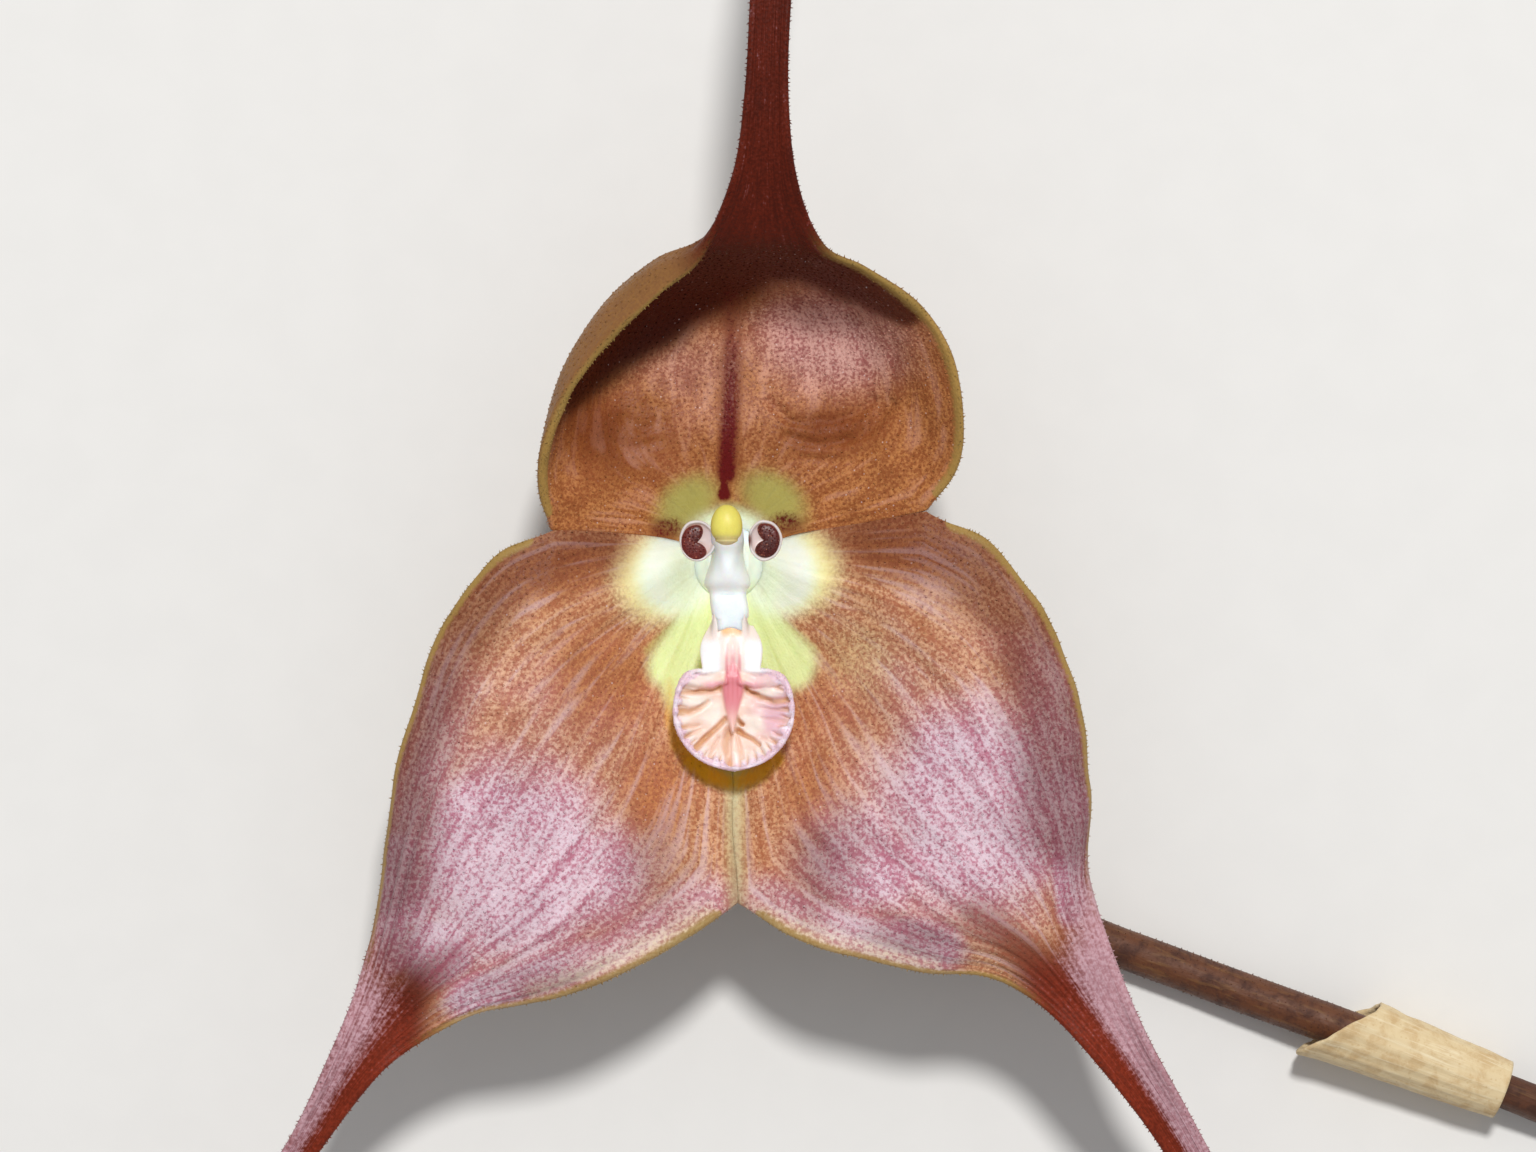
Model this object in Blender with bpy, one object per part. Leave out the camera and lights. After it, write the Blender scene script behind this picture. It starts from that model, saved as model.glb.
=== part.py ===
"""One picked orchid flower of the monkey face kind, lying face up, in metres with +Z up.

Three long-tailed sepals make a shallow cup. In its middle stand the column with its yellow anther cap,
two small warty petals and the round ridged lip. Behind them are the ovary, the stalk that lies along the
surface, the sheath at the stalk's foot and the cut end of the flowering stem.

All sizes are in millimetres in the flower's own frame: x to the flower's right, y towards the dorsal sepal's
tail, z up from the surface, with the origin below the column's foot. FLOWER_AT moves that frame so that
the world origin lies under the middle of the whole flower.
"""
import math

import bmesh
import bpy
from mathutils import Vector

MM = 0.001
FLOWER_AT = (-2.8, -0.25)

# Sepals: thickness along the middle, the share of it left at the margin, how late it thins towards the margin,
# and the gap at a seam, which takes no more than a set share of a half width
SEPAL_THICKNESS = 0.9
MARGIN_SHARE = 0.5
THINNING_POWER = 3
SEAM_GAP = 0.5
SEAM_SHARE = 0.5
ROWS_PER_BLADE_STATION = 3
ROWS_PER_TAIL_STATION = 2
COLUMNS_ACROSS = 10

# A sepal's guide curves, each named by its place across: -1 and 1 are the margins, 0 is the middle vein.
# They start on the ring round the column's foot. Every guide of a sepal has a point at each station, and
# neighbouring sepals share their margins' points up to the notch.
NOTCH = 3
LEFT_GUIDES = {
    -1.0: [(-1.3, 0.6, 6.0), (-3.0, 1.0, 7.0), (-5.2, 1.2, 8.3), (-7.7, 1.3, 9.5), (-10.5, 0.0, 9.7),
           (-12.9, -3.5, 9.3), (-14.6, -8.4, 9.0), (-15.2, -13.2, 8.9), (-16.0, -17.2, 8.8)],
    -0.5: [(-1.4, 0.2, 6.0), (-2.9, -0.4, 8.0), (-5.1, -1.3, 9.0), (-7.6, -2.6, 10.3), (-9.7, -4.7, 10.9),
           (-11.6, -8.0, 11.0), (-13.1, -11.5, 10.8), (-14.2, -15.0, 10.4), (-15.3, -18.3, 9.6)],
    0.0: [(-1.3, -0.8, 6.0), (-2.5, -2.3, 6.9), (-4.4, -4.8, 8.0), (-6.2, -7.5, 9.4), (-7.9, -10.3, 10.4),
          (-9.7, -12.9, 10.9), (-11.4, -15.1, 10.8), (-13.0, -17.4, 10.3), (-14.6, -19.4, 9.7)],
    0.5: [(-0.8, -1.3, 6.0), (-1.4, -4.2, 6.2), (-2.1, -7.8, 7.2), (-3.2, -11.4, 8.7), (-5.0, -13.9, 9.9),
          (-7.2, -16.0, 10.5), (-9.6, -17.6, 10.5), (-12.0, -19.0, 10.1), (-14.0, -20.4, 9.5)],
    1.0: [(0.0, -1.6, 6.0), (0.1, -5.8, 6.0), (0.2, -10.7, 7.0), (0.4, -15.2, 8.2), (-1.7, -16.6, 9.3),
          (-4.5, -18.1, 9.8), (-7.8, -19.4, 9.7), (-10.9, -20.1, 9.4), (-13.4, -21.3, 9.1)],
}
RIGHT_GUIDES = {
    -1.0: [(0.0, -1.6, 6.0), (0.1, -5.8, 6.0), (0.2, -10.7, 7.0), (0.4, -15.2, 8.2), (2.7, -16.6, 9.3),
           (5.4, -17.5, 9.8), (8.7, -18.2, 9.7), (11.3, -18.4, 9.4), (13.4, -19.4, 9.1)],
    -0.5: [(0.7, -1.3, 6.0), (1.6, -4.2, 6.2), (2.6, -7.5, 7.2), (3.8, -10.8, 8.7), (5.8, -13.2, 9.9),
           (8.0, -14.9, 10.5), (10.3, -16.3, 10.5), (12.3, -17.2, 10.1), (14.0, -18.5, 9.5)],
    0.0: [(1.3, -0.8, 6.0), (2.6, -2.4, 6.9), (4.7, -4.3, 8.0), (6.7, -6.5, 9.4), (8.7, -9.0, 10.4),
          (10.5, -11.4, 10.9), (12.2, -13.5, 10.8), (13.6, -15.4, 10.3), (14.7, -17.4, 9.7)],
    0.5: [(1.4, 0.2, 6.0), (3.2, -0.5, 8.0), (5.6, -1.1, 9.0), (8.1, -2.0, 10.3), (10.4, -3.8, 10.9),
          (12.3, -6.4, 11.0), (13.7, -9.6, 10.8), (14.7, -12.7, 10.4), (15.4, -15.8, 9.6)],
    1.0: [(1.3, 0.6, 6.0), (3.2, 1.2, 7.0), (5.9, 1.6, 8.3), (8.7, 2.2, 9.5), (11.5, 0.8, 9.7),
          (13.8, -1.9, 9.3), (15.3, -5.3, 9.0), (16.1, -9.7, 8.9), (16.0, -13.9, 8.8)],
}
DORSAL_GUIDES = {
    -1.0: [(1.3, 0.6, 6.0), (3.2, 1.2, 7.0), (5.9, 1.6, 8.3), (8.7, 2.2, 9.5), (10.0, 4.0, 10.3),
           (10.2, 6.2, 11.2), (9.7, 8.9, 12.1), (8.3, 11.0, 12.9), (6.1, 12.5, 13.6), (4.2, 13.5, 14.2)],
    -0.8: [(1.1, 0.9, 6.0), (2.8, 1.6, 6.9), (5.1, 2.4, 8.0), (7.4, 3.4, 8.9), (8.5, 4.7, 9.4),
           (8.7, 6.6, 9.9), (8.2, 8.9, 10.6), (7.1, 10.8, 11.4), (5.2, 12.3, 12.6), (3.7, 13.5, 14.0)],
    -0.5: [(0.8, 1.2, 6.0), (1.8, 2.2, 6.6), (3.2, 3.4, 7.3), (4.7, 4.7, 7.9), (5.7, 6.2, 8.0),
           (5.9, 8.0, 7.9), (5.6, 9.9, 8.2), (4.8, 11.5, 9.4), (3.7, 12.6, 11.8), (3.0, 13.8, 13.9)],
    0.0: [(0.0, 1.4, 6.0), (0.0, 2.7, 6.6), (0.0, 4.2, 7.2), (0.1, 5.8, 7.6), (0.2, 7.3, 7.5),
          (0.3, 8.9, 7.2), (0.5, 10.4, 7.4), (0.8, 11.7, 8.9), (1.2, 12.8, 11.6), (1.5, 13.9, 13.8)],
    0.5: [(-0.8, 1.2, 6.0), (-1.7, 2.1, 6.6), (-3.0, 3.2, 7.3), (-4.3, 4.4, 7.9), (-4.9, 6.0, 8.0),
          (-5.1, 7.8, 7.9), (-4.5, 9.7, 8.2), (-3.2, 11.4, 9.4), (-1.6, 12.6, 11.8), (-0.1, 13.8, 13.9)],
    0.8: [(-1.1, 0.9, 6.0), (-2.6, 1.6, 6.9), (-4.6, 2.2, 8.0), (-6.5, 2.6, 8.9), (-7.4, 3.6, 9.4),
          (-7.4, 5.7, 9.9), (-6.7, 8.3, 10.6), (-5.2, 10.6, 11.4), (-3.2, 12.3, 12.6), (-0.9, 13.4, 14.0)],
    1.0: [(-1.3, 0.6, 6.0), (-3.0, 1.0, 7.0), (-5.2, 1.2, 8.3), (-7.7, 1.3, 9.5), (-8.1, 3.1, 10.3),
          (-7.9, 5.0, 11.2), (-6.8, 7.4, 12.1), (-4.9, 9.7, 12.9), (-2.8, 11.4, 13.6), (-1.0, 13.1, 14.2)],
}
# A tail's stations, past its blade's last one: x, y and z of its middle, and its half width.
# Each tail comes down to the surface, where its last millimetres lie.
LEFT_TAIL = [(-16.5, -22.2, 9.2, 1.1), (-18.9, -26.1, 8.3, 0.64), (-21.9, -30.4, 7.0, 0.64),
             (-25.2, -34.9, 5.3, 0.65), (-28.8, -39.4, 3.5, 0.6), (-32.7, -43.8, 1.9, 0.55),
             (-36.6, -47.9, 1.1, 0.48), (-40.2, -51.5, 0.9, 0.35)]
RIGHT_TAIL = [(17.0, -21.0, 9.2, 1.3), (19.8, -25.3, 8.3, 0.87), (22.4, -30.0, 7.0, 0.78),
              (24.8, -35.0, 5.3, 0.72), (27.2, -40.1, 3.5, 0.65), (29.9, -45.0, 1.9, 0.58),
              (33.1, -49.3, 1.1, 0.5), (36.9, -52.5, 0.9, 0.35)]
DORSAL_TAIL = [(1.6, 16.4, 15.1, 1.35), (1.7, 20.2, 16.0, 0.88), (1.9, 24.6, 16.3, 0.82),
               (2.3, 29.5, 15.6, 0.8), (2.9, 34.4, 13.4, 0.76), (3.8, 38.9, 10.0, 0.72),
               (5.0, 42.8, 6.3, 0.66), (6.5, 46.4, 3.1, 0.6), (8.2, 50.0, 1.3, 0.5), (10.0, 53.2, 0.9, 0.35)]
TAIL_CHANNEL = 0.35

# Column: stations down its length, each y, half width, top and underside; the middle ones are its stalk
COLUMN_STATIONS = [(2.0, 0.4, 9.6, 9.1), (1.4, 0.66, 9.72, 8.6), (0.8, 0.7, 9.72, 7.6), (0.6, 0.72, 9.8, 5.3),
                   (0.1, 0.8, 9.7, 5.1), (-0.5, 0.9, 9.4, 5.1), (-1.0, 1.0, 9.1, 5.8), (-1.4, 0.88, 8.8, 6.6),
                   (-1.8, 0.82, 8.5, 7.0), (-2.8, 0.84, 8.5, 7.4)]
COLUMN_SIDES = 16
CAP_CENTRE = (-0.05, 1.53, 10.6)
CAP_RADII = (0.67, 0.85, 0.56)
CAP_SEGMENTS = 20
CAP_RINGS = 12

# Petal: levels up its height, each z, half width and half length; the face turns its notch to the column
PETAL_AT = {-1: (-1.5, 0.84), 1: (1.6, 0.88)}
PETAL_LEVELS = [(6.75, 0.2, 0.28), (7.4, 0.22, 0.32), (8.4, 0.3, 0.42), (8.9, 0.45, 0.66), (9.25, 0.58, 0.86),
                (9.6, 0.56, 0.84)]
PETAL_LEAN = 0.1
PETAL_NOTCH = 0.3
NOTCH_SHARPNESS = 6
PETAL_SIDES = 20

# Lip: stations down its length, each y, half width, height of the middle, and rise from there to the margin
LIP_STATIONS = [(-3.12, 0.9, 8.6, 0.1), (-3.7, 1.15, 8.8, 0.1), (-4.25, 1.27, 8.9, 0.1), (-4.75, 1.15, 8.8, 0.2),
                (-5.05, 1.75, 8.7, 0.6), (-5.5, 2.15, 8.6, 0.9), (-6.2, 2.38, 8.5, 1.1), (-7.0, 2.44, 8.5, 1.1),
                (-7.8, 2.28, 8.6, 1.0), (-8.5, 1.75, 8.9, 0.7), (-9.0, 1.0, 9.25, 0.35), (-9.15, 0.5, 9.5, 0.1)]
LIP_MIDDLE_X = 0.26
LIP_THICKNESS = 0.6

# Ovary and stalk: their middle lines, and their radii
OVARY_PATH = [(0.0, -0.1, 4.8), (0.05, -0.2, 3.9), (0.4, -0.9, 2.6), (1.2, -2.3, 1.8), (2.2, -4.2, 1.45),
              (3.4, -6.2, 1.25)]
OVARY_RADII = [1.3, 1.3, 1.35, 1.4, 1.3, 1.0]
STALK_PATH = [(3.6, -6.5, 1.2), (6.2, -9.8, 1.0), (10.5, -13.6, 0.95), (15.0, -16.4, 0.95), (21.4, -18.9, 0.95),
              (27.8, -21.2, 1.45), (30.6, -22.3, 1.65)]
STALK_RADIUS = 0.93
BRACT_FROM = (27.6, -21.15, 1.75)
BRACT_TO = (35.0, -23.95, 1.6)
BRACT_RADII = [1.75, 1.62, 1.56, 1.5, 1.43, 1.36]
BRACT_WALL = 0.25
BRACT_LIP = 1.4
STEM_PATH = [(31.0, -22.45, 1.6), (35.0, -23.95, 1.6), (38.5, -25.4, 1.1), (42.5, -26.9, 0.82), (46.0, -28.1, 0.82)]
STEM_RADIUS = 0.8
TUBE_SIDES = 16
TUBE_RINGS_PER_POINT = 4
TUBE_AIM_STEP = 0.05

# Colour and roughness of each finish
SEPAL_FINISH = ((0.56, 0.30, 0.25, 1.0), 0.55)
PETAL_FINISH = ((0.18, 0.02, 0.03, 1.0), 0.35)
COLUMN_FINISH = ((0.92, 0.93, 0.90, 1.0), 0.4)
CAP_FINISH = ((0.90, 0.80, 0.25, 1.0), 0.4)
LIP_FINISH = ((0.90, 0.66, 0.62, 1.0), 0.4)
OVARY_FINISH = ((0.30, 0.20, 0.10, 1.0), 0.55)
STALK_FINISH = ((0.22, 0.11, 0.06, 1.0), 0.6)
BRACT_FINISH = ((0.72, 0.62, 0.44, 1.0), 0.7)
STEM_FINISH = ((0.24, 0.14, 0.07, 1.0), 0.6)


def clear_scene():
    """Remove whatever the new file holds."""
    for thing in list(bpy.data.objects):
        bpy.data.objects.remove(thing)


def smooth_curve(points, knots, at, corner=None):
    """The place at `at` on the smooth curve through points that stand at rising knots; it may have one corner."""
    last = len(knots) - 1
    span = 0
    while span < last - 1 and at > knots[span + 1]:
        span += 1

    def slope(i):
        before = i if i == corner == span else max(i - 1, 0)
        after = i if i == corner == span + 1 else min(i + 1, last)
        return (points[after] - points[before]) / (knots[after] - knots[before])

    width = knots[span + 1] - knots[span]
    t = (at - knots[span]) / width
    start, end = points[span], points[span + 1]
    start_pull, end_pull = slope(span) * width, slope(span + 1) * width
    blend_start = 2 * t**3 - 3 * t**2 + 1
    blend_end = 1 - blend_start
    return (start * blend_start + end * blend_end + start_pull * (t**3 - 2 * t**2 + t)
            + end_pull * (t**3 - t**2))


def make_material(name, finish):
    """A plain material with a colour and a roughness."""
    material = bpy.data.materials.new(name)
    material.use_nodes = True
    shader = material.node_tree.nodes["Principled BSDF"]
    shader.inputs["Base Color"].default_value = finish[0]
    shader.inputs["Roughness"].default_value = finish[1]
    return material


def place_mesh(name, build, finish):
    """Put a finished bmesh, in the flower's frame in millimetres, into the scene as one object."""
    for vertex in build.verts:
        vertex.co = (vertex.co + Vector((*FLOWER_AT, 0.0))) * MM
    mesh = bpy.data.meshes.new(name)
    build.to_mesh(mesh)
    build.free()
    mesh.shade_smooth()
    mesh.materials.append(make_material(name, finish))
    thing = bpy.data.objects.new(name, mesh)
    bpy.context.scene.collection.objects.link(thing)
    return thing


def sheet_solid(name, rows, weights, thickness, finish, closed_across=False):
    """A sheet whose upper face is the grid of rows, thickened downwards by its weights' share of thickness."""
    build = bmesh.new()
    grid = [[build.verts.new(point) for point in row] for row in rows]
    across = len(rows[0]) - (0 if closed_across else 1)
    for low, high in zip(grid, grid[1:]):
        for i in range(across):
            j = (i + 1) % len(low)
            build.faces.new((low[i], high[i], high[j], low[j]))
    thing = place_mesh(name, build, finish)
    group = thing.vertex_groups.new(name="thickness")
    flat_weights = [weight for row in weights for weight in row]
    for index, weight in enumerate(flat_weights):
        group.add([index], weight, "REPLACE")
    solidify = thing.modifiers.new("thickness", "SOLIDIFY")
    solidify.thickness = thickness * MM
    solidify.offset = -1.0
    solidify.vertex_group = group.name
    return thing


def loop_solid(name, loops, finish):
    """A closed skin over loops of points, with a flat face over the first and the last."""
    build = bmesh.new()
    rings = [[build.verts.new(point) for point in loop] for loop in loops]
    for low, high in zip(rings, rings[1:]):
        for i in range(len(low)):
            j = (i + 1) % len(low)
            build.faces.new((low[i], low[j], high[j], high[i]))
    build.faces.new(rings[0])
    build.faces.new(rings[-1])
    bmesh.ops.recalc_face_normals(build, faces=build.faces)
    return place_mesh(name, build, finish)


def tail_points(tail, start, places):
    """The guide points along a tail, for each place across it; start is the blade's last middle point."""
    middles = [Vector(start)] + [Vector(station[:3]) for station in tail]
    points = {place: [] for place in places}
    for i, station in enumerate(tail, start=1):
        ahead = middles[min(i + 1, len(middles) - 1)] - middles[i - 1]
        side = Vector((-ahead.y, ahead.x, 0.0)).normalized()
        half_width = station[3]
        for place in places:
            lift = TAIL_CHANNEL * half_width * place * place
            points[place].append(middles[i] + side * (place * half_width) + Vector((0.0, 0.0, lift)))
    return points


def make_sepal(name, guides, tail, finish):
    """One sepal: a blade lofted through its guides, running on into its tail."""
    places = sorted(guides)
    ends = tail_points(tail, guides[0.0][-1], places)
    curves = {place: [Vector(point) for point in guides[place]] + ends[place] for place in places}
    blade_end = len(guides[0.0]) - 1
    stations = [i / ROWS_PER_BLADE_STATION for i in range(blade_end * ROWS_PER_BLADE_STATION)]
    stations += [blade_end + i / ROWS_PER_TAIL_STATION for i in range(len(tail) * ROWS_PER_TAIL_STATION + 1)]
    knots = list(range(blade_end + len(tail) + 1))
    rows, weights = [], []
    for station in stations:
        across = [smooth_curve(curves[place], knots, station, NOTCH if abs(place) == 1 else None)
                  for place in places]
        half_width = (across[-1] - across[0]).length / 2
        reach = 1 - min(SEAM_GAP / 2 / half_width, SEAM_SHARE) if station <= blade_end else 1.0
        row, share = [], []
        for i in range(COLUMNS_ACROSS + 1):
            place = reach * (2 * i / COLUMNS_ACROSS - 1)
            row.append(smooth_curve(across, places, place))
            share.append(1 - (1 - MARGIN_SHARE) * abs(place) ** THINNING_POWER)
        rows.append(row)
        weights.append(share)
    return sheet_solid(name, rows, weights, SEPAL_THICKNESS, finish)


def make_column():
    """The column with its stalk and its foot, as one lofted body."""
    loops = []
    for y, half_width, top, underside in COLUMN_STATIONS:
        middle, half_height = (top + underside) / 2, (top - underside) / 2
        turns = [2 * math.pi * i / COLUMN_SIDES for i in range(COLUMN_SIDES)]
        loops.append([(half_width * math.cos(turn), y, middle + half_height * math.sin(turn)) for turn in turns])
    return loop_solid("column", loops, COLUMN_FINISH)


def make_anther_cap():
    """The cap over the column's tip."""
    build = bmesh.new()
    bmesh.ops.create_uvsphere(build, u_segments=CAP_SEGMENTS, v_segments=CAP_RINGS, radius=1.0)
    for vertex in build.verts:
        vertex.co = Vector([c + r * x for c, r, x in zip(CAP_CENTRE, CAP_RADII, vertex.co)])
    return place_mesh("anther_cap", build, CAP_FINISH)


def make_petal(name, side):
    """A petal: a narrow claw that widens into a kidney-shaped head; side is -1 on the left and 1 on the right."""
    middle_x, middle_y = PETAL_AT[side]
    loops = []
    base = PETAL_LEVELS[0][0]
    for z, half_width, half_length in PETAL_LEVELS:
        lean = PETAL_LEAN * (z - base) / (PETAL_LEVELS[-1][0] - base)
        loop = []
        for i in range(PETAL_SIDES):
            turn = 2 * math.pi * i / PETAL_SIDES
            notch = PETAL_NOTCH * half_width * max(0.0, -math.cos(turn)) ** NOTCH_SHARPNESS
            out = half_width * math.cos(turn) + notch
            loop.append((middle_x + side * (lean + out), middle_y + half_length * math.sin(turn), z))
        loops.append(loop)
    return loop_solid(name, loops, PETAL_FINISH)


def make_lip():
    """The lip: its narrow base and the round dish."""
    rows, weights = [], []
    for y, half_width, middle, rise in LIP_STATIONS:
        row = []
        for i in range(COLUMNS_ACROSS + 1):
            place = 2 * i / COLUMNS_ACROSS - 1
            row.append((LIP_MIDDLE_X + place * half_width, y, middle + rise * place * place))
        rows.append(row)
        weights.append([1.0] * (COLUMNS_ACROSS + 1))
    return sheet_solid("lip", rows, weights, LIP_THICKNESS, LIP_FINISH)


def make_tube(name, path, radii, finish):
    """A round solid along the smooth curve through a path, with flat ends."""
    middles = [Vector(point) for point in path]
    knots = list(range(len(path)))
    steps = TUBE_RINGS_PER_POINT * (len(path) - 1)
    loops = []
    for i in range(steps + 1):
        at = i * knots[-1] / steps
        here = smooth_curve(middles, knots, at)
        ahead = smooth_curve(middles, knots, min(at + TUBE_AIM_STEP, knots[-1]))
        behind = smooth_curve(middles, knots, max(at - TUBE_AIM_STEP, 0.0))
        across = (ahead - behind).cross(Vector((-path[-1][1], path[-1][0], 0.0))).normalized()
        beside = (ahead - behind).cross(across).normalized()
        radius = smooth_curve(radii, knots, at)
        turns = [2 * math.pi * k / TUBE_SIDES for k in range(TUBE_SIDES)]
        loops.append([here + (across * math.cos(turn) + beside * math.sin(turn)) * radius for turn in turns])
    return loop_solid(name, loops, finish)


def make_bract():
    """The sheath round the stalk's foot: a tapering sleeve with a slanting mouth."""
    start, end = Vector(BRACT_FROM), Vector(BRACT_TO)
    along = (end - start).normalized()
    beside = along.cross(Vector((0.0, 0.0, 1.0))).normalized()
    upward = beside.cross(along)
    last = len(BRACT_RADII) - 1
    rows, weights = [], []
    for i, radius in enumerate(BRACT_RADII):
        row = []
        for k in range(TUBE_SIDES):
            turn = 2 * math.pi * k / TUBE_SIDES
            lead = BRACT_LIP * (1 - i / last) * math.cos(turn)
            middle = start.lerp(end, i / last) - along * lead
            row.append(middle + (beside * math.cos(turn) + upward * math.sin(turn)) * radius)
        rows.append(row)
        weights.append([1.0] * TUBE_SIDES)
    return sheet_solid("floral_bract", rows, weights, BRACT_WALL, BRACT_FINISH, closed_across=True)


def main():
    clear_scene()
    make_sepal("dorsal_sepal", DORSAL_GUIDES, DORSAL_TAIL, SEPAL_FINISH)
    make_sepal("left_lateral_sepal", LEFT_GUIDES, LEFT_TAIL, SEPAL_FINISH)
    make_sepal("right_lateral_sepal", RIGHT_GUIDES, RIGHT_TAIL, SEPAL_FINISH)
    make_column()
    make_anther_cap()
    make_petal("left_petal", -1)
    make_petal("right_petal", 1)
    make_lip()
    make_tube("ovary", OVARY_PATH, OVARY_RADII, OVARY_FINISH)
    make_tube("pedicel", STALK_PATH, [STALK_RADIUS] * len(STALK_PATH), STALK_FINISH)
    make_bract()
    make_tube("peduncle", STEM_PATH, [STEM_RADIUS] * len(STEM_PATH), STEM_FINISH)


main()
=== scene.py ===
"""The looks of one picked orchid flower of the monkey face kind, lying face up.

Every piece is built in millimetres in the flower's own frame (x to the flower's right, y towards the
dorsal sepal's tail, z up from the surface, origin below the column's foot), then placed in metres on the
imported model.
"""
from __future__ import annotations

import logging
import math
from dataclasses import dataclass, field
from enum import Enum
from typing import Any, Sequence

import bpy
import numpy as np
from mathutils import Matrix


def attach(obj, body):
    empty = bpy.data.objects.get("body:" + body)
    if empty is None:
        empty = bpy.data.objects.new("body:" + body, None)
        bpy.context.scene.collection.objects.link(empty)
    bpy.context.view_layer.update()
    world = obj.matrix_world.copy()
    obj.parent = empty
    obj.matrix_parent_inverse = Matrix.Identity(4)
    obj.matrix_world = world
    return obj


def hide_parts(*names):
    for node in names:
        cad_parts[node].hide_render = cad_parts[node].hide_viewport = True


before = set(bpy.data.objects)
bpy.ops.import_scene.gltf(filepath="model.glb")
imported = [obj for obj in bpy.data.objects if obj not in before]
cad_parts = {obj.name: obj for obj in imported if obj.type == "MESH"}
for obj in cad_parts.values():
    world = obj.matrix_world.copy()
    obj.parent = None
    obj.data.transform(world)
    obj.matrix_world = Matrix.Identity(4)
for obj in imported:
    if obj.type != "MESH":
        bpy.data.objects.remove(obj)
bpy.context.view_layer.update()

LOG = logging.getLogger("monkey_face_orchid")
MM = 0.001
FLOWER_AT = (-2.8, -0.25)
BODY = "root"
UV_NAME = "UVMap"
# Where most of a soft noise's values lie
NOISE_SPAN = (0.3, 0.7)

Point = tuple[float, float, float]
Spot = tuple[float, float]
Tint = tuple[float, float, float, float]
Path = tuple[Point, ...]
Array = np.ndarray
Thing = bpy.types.Object
Material = bpy.types.Material
Socket = bpy.types.NodeSocket
Input = Any


# ---------------------------------------------------------------- shape arithmetic


def ease(low: float, high: float, value: Array) -> Array:
    """A soft ramp from 0 to 1.

    Args:
        low: where the ramp starts; it may be above high, and then the ramp falls.
        high: where the ramp ends.
        value: the numbers to put on the ramp.

    Returns:
        An array like value, from 0 to 1.
    """
    share = np.clip((np.asarray(value, float) - low) / (high - low), 0.0, 1.0)
    return share * share * (3.0 - 2.0 * share)


def smooth_curve(points: Array, at: Array, knots: Array | None = None,
                 corner: int | None = None) -> Array:
    """Places along the smooth curve through some points.

    Args:
        points: the points, one a row.
        at: where on the curve each place is, in the knots' numbers.
        knots: a rising number for each point, or None for 0, 1, 2 and so on.
        corner: the index of a point where the curve may turn sharply, or None.

    Returns:
        One row for each number in at.
    """
    points = np.asarray(points, float)
    knots = np.arange(len(points), dtype=float) if knots is None else np.asarray(knots, float)
    at = np.asarray(at, float)
    last = len(knots) - 1
    index = np.arange(last + 1)
    before = np.where(index == corner, index, np.maximum(index - 1, 0))
    after = np.where(index == corner, index, np.minimum(index + 1, last))
    ahead = np.minimum(index + 1, last)
    behind = np.maximum(index - 1, 0)
    leaving = _slopes(points, knots, before, ahead)
    arriving = _slopes(points, knots, behind, after)
    span = np.clip(np.searchsorted(knots, at, side="left") - 1, 0, last - 1)
    width = (knots[span + 1] - knots[span]).reshape((-1,) + (1,) * (points.ndim - 1))
    share = (at - knots[span]).reshape(width.shape) / width
    start_share = 2 * share**3 - 3 * share**2 + 1
    pull_out = (share**3 - 2 * share**2 + share) * width
    pull_in = (share**3 - share**2) * width
    return (points[span] * start_share + points[span + 1] * (1 - start_share)
            + leaving[span] * pull_out + arriving[span + 1] * pull_in)


def _slopes(points: Array, knots: Array, low: Array, high: Array) -> Array:
    """The slope between two points for each pair of indices, or 0 where a pair is one point."""
    run = np.where(high > low, knots[high] - knots[low], 1.0)
    return (points[high] - points[low]) / run.reshape((-1,) + (1,) * (points.ndim - 1))


def full_turn(count: int) -> Array:
    """The angles of this many points evenly round a loop, in one row."""
    return np.linspace(0.0, 2 * math.pi, count, endpoint=False)[None, :]


def bell(value: Array, middle: float, width: float) -> Array:
    """A bell shape, 1 at its middle."""
    return np.exp(-(((value - middle) / width) ** 2))


def dent(x: Array, y: Array, centre: Spot, half_sizes: Spot) -> Array:
    """A bell shape over a plane, 1 at its centre."""
    return np.exp(-((x - centre[0]) / half_sizes[0]) ** 2 - ((y - centre[1]) / half_sizes[1]) ** 2)


def grid_of(x: Array, y: Array, z: Array) -> Array:
    """A grid of points from their x, y and z."""
    return np.stack(np.broadcast_arrays(x, y, z), axis=-1)


def unit(vectors: Array) -> Array:
    """The vectors at length 1."""
    return vectors / np.maximum(np.linalg.norm(vectors, axis=-1, keepdims=True), 1e-12)


def distance_to_path(x: Array, y: Array, path: Sequence[Spot]) -> tuple[Array, Array]:
    """How far places lie from a path of straight steps.

    Args:
        x: the places' x.
        y: the places' y.
        path: the path's points.

    Returns:
        The distance, and how far along the path the nearest place on it is, from 0 to 1.
    """
    nearest = np.full(np.shape(x), np.inf)
    along = np.zeros(np.shape(x))
    steps = len(path) - 1
    for i, ((ax, ay), (bx, by)) in enumerate(zip(path, path[1:])):
        run = (bx - ax) ** 2 + (by - ay) ** 2
        share = np.clip(((x - ax) * (bx - ax) + (y - ay) * (by - ay)) / run, 0.0, 1.0)
        distance = np.hypot(x - ax - share * (bx - ax), y - ay - share * (by - ay))
        closer = distance < nearest
        nearest = np.where(closer, distance, nearest)
        along = np.where(closer, (i + share) / steps, along)
    return nearest, along


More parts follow.
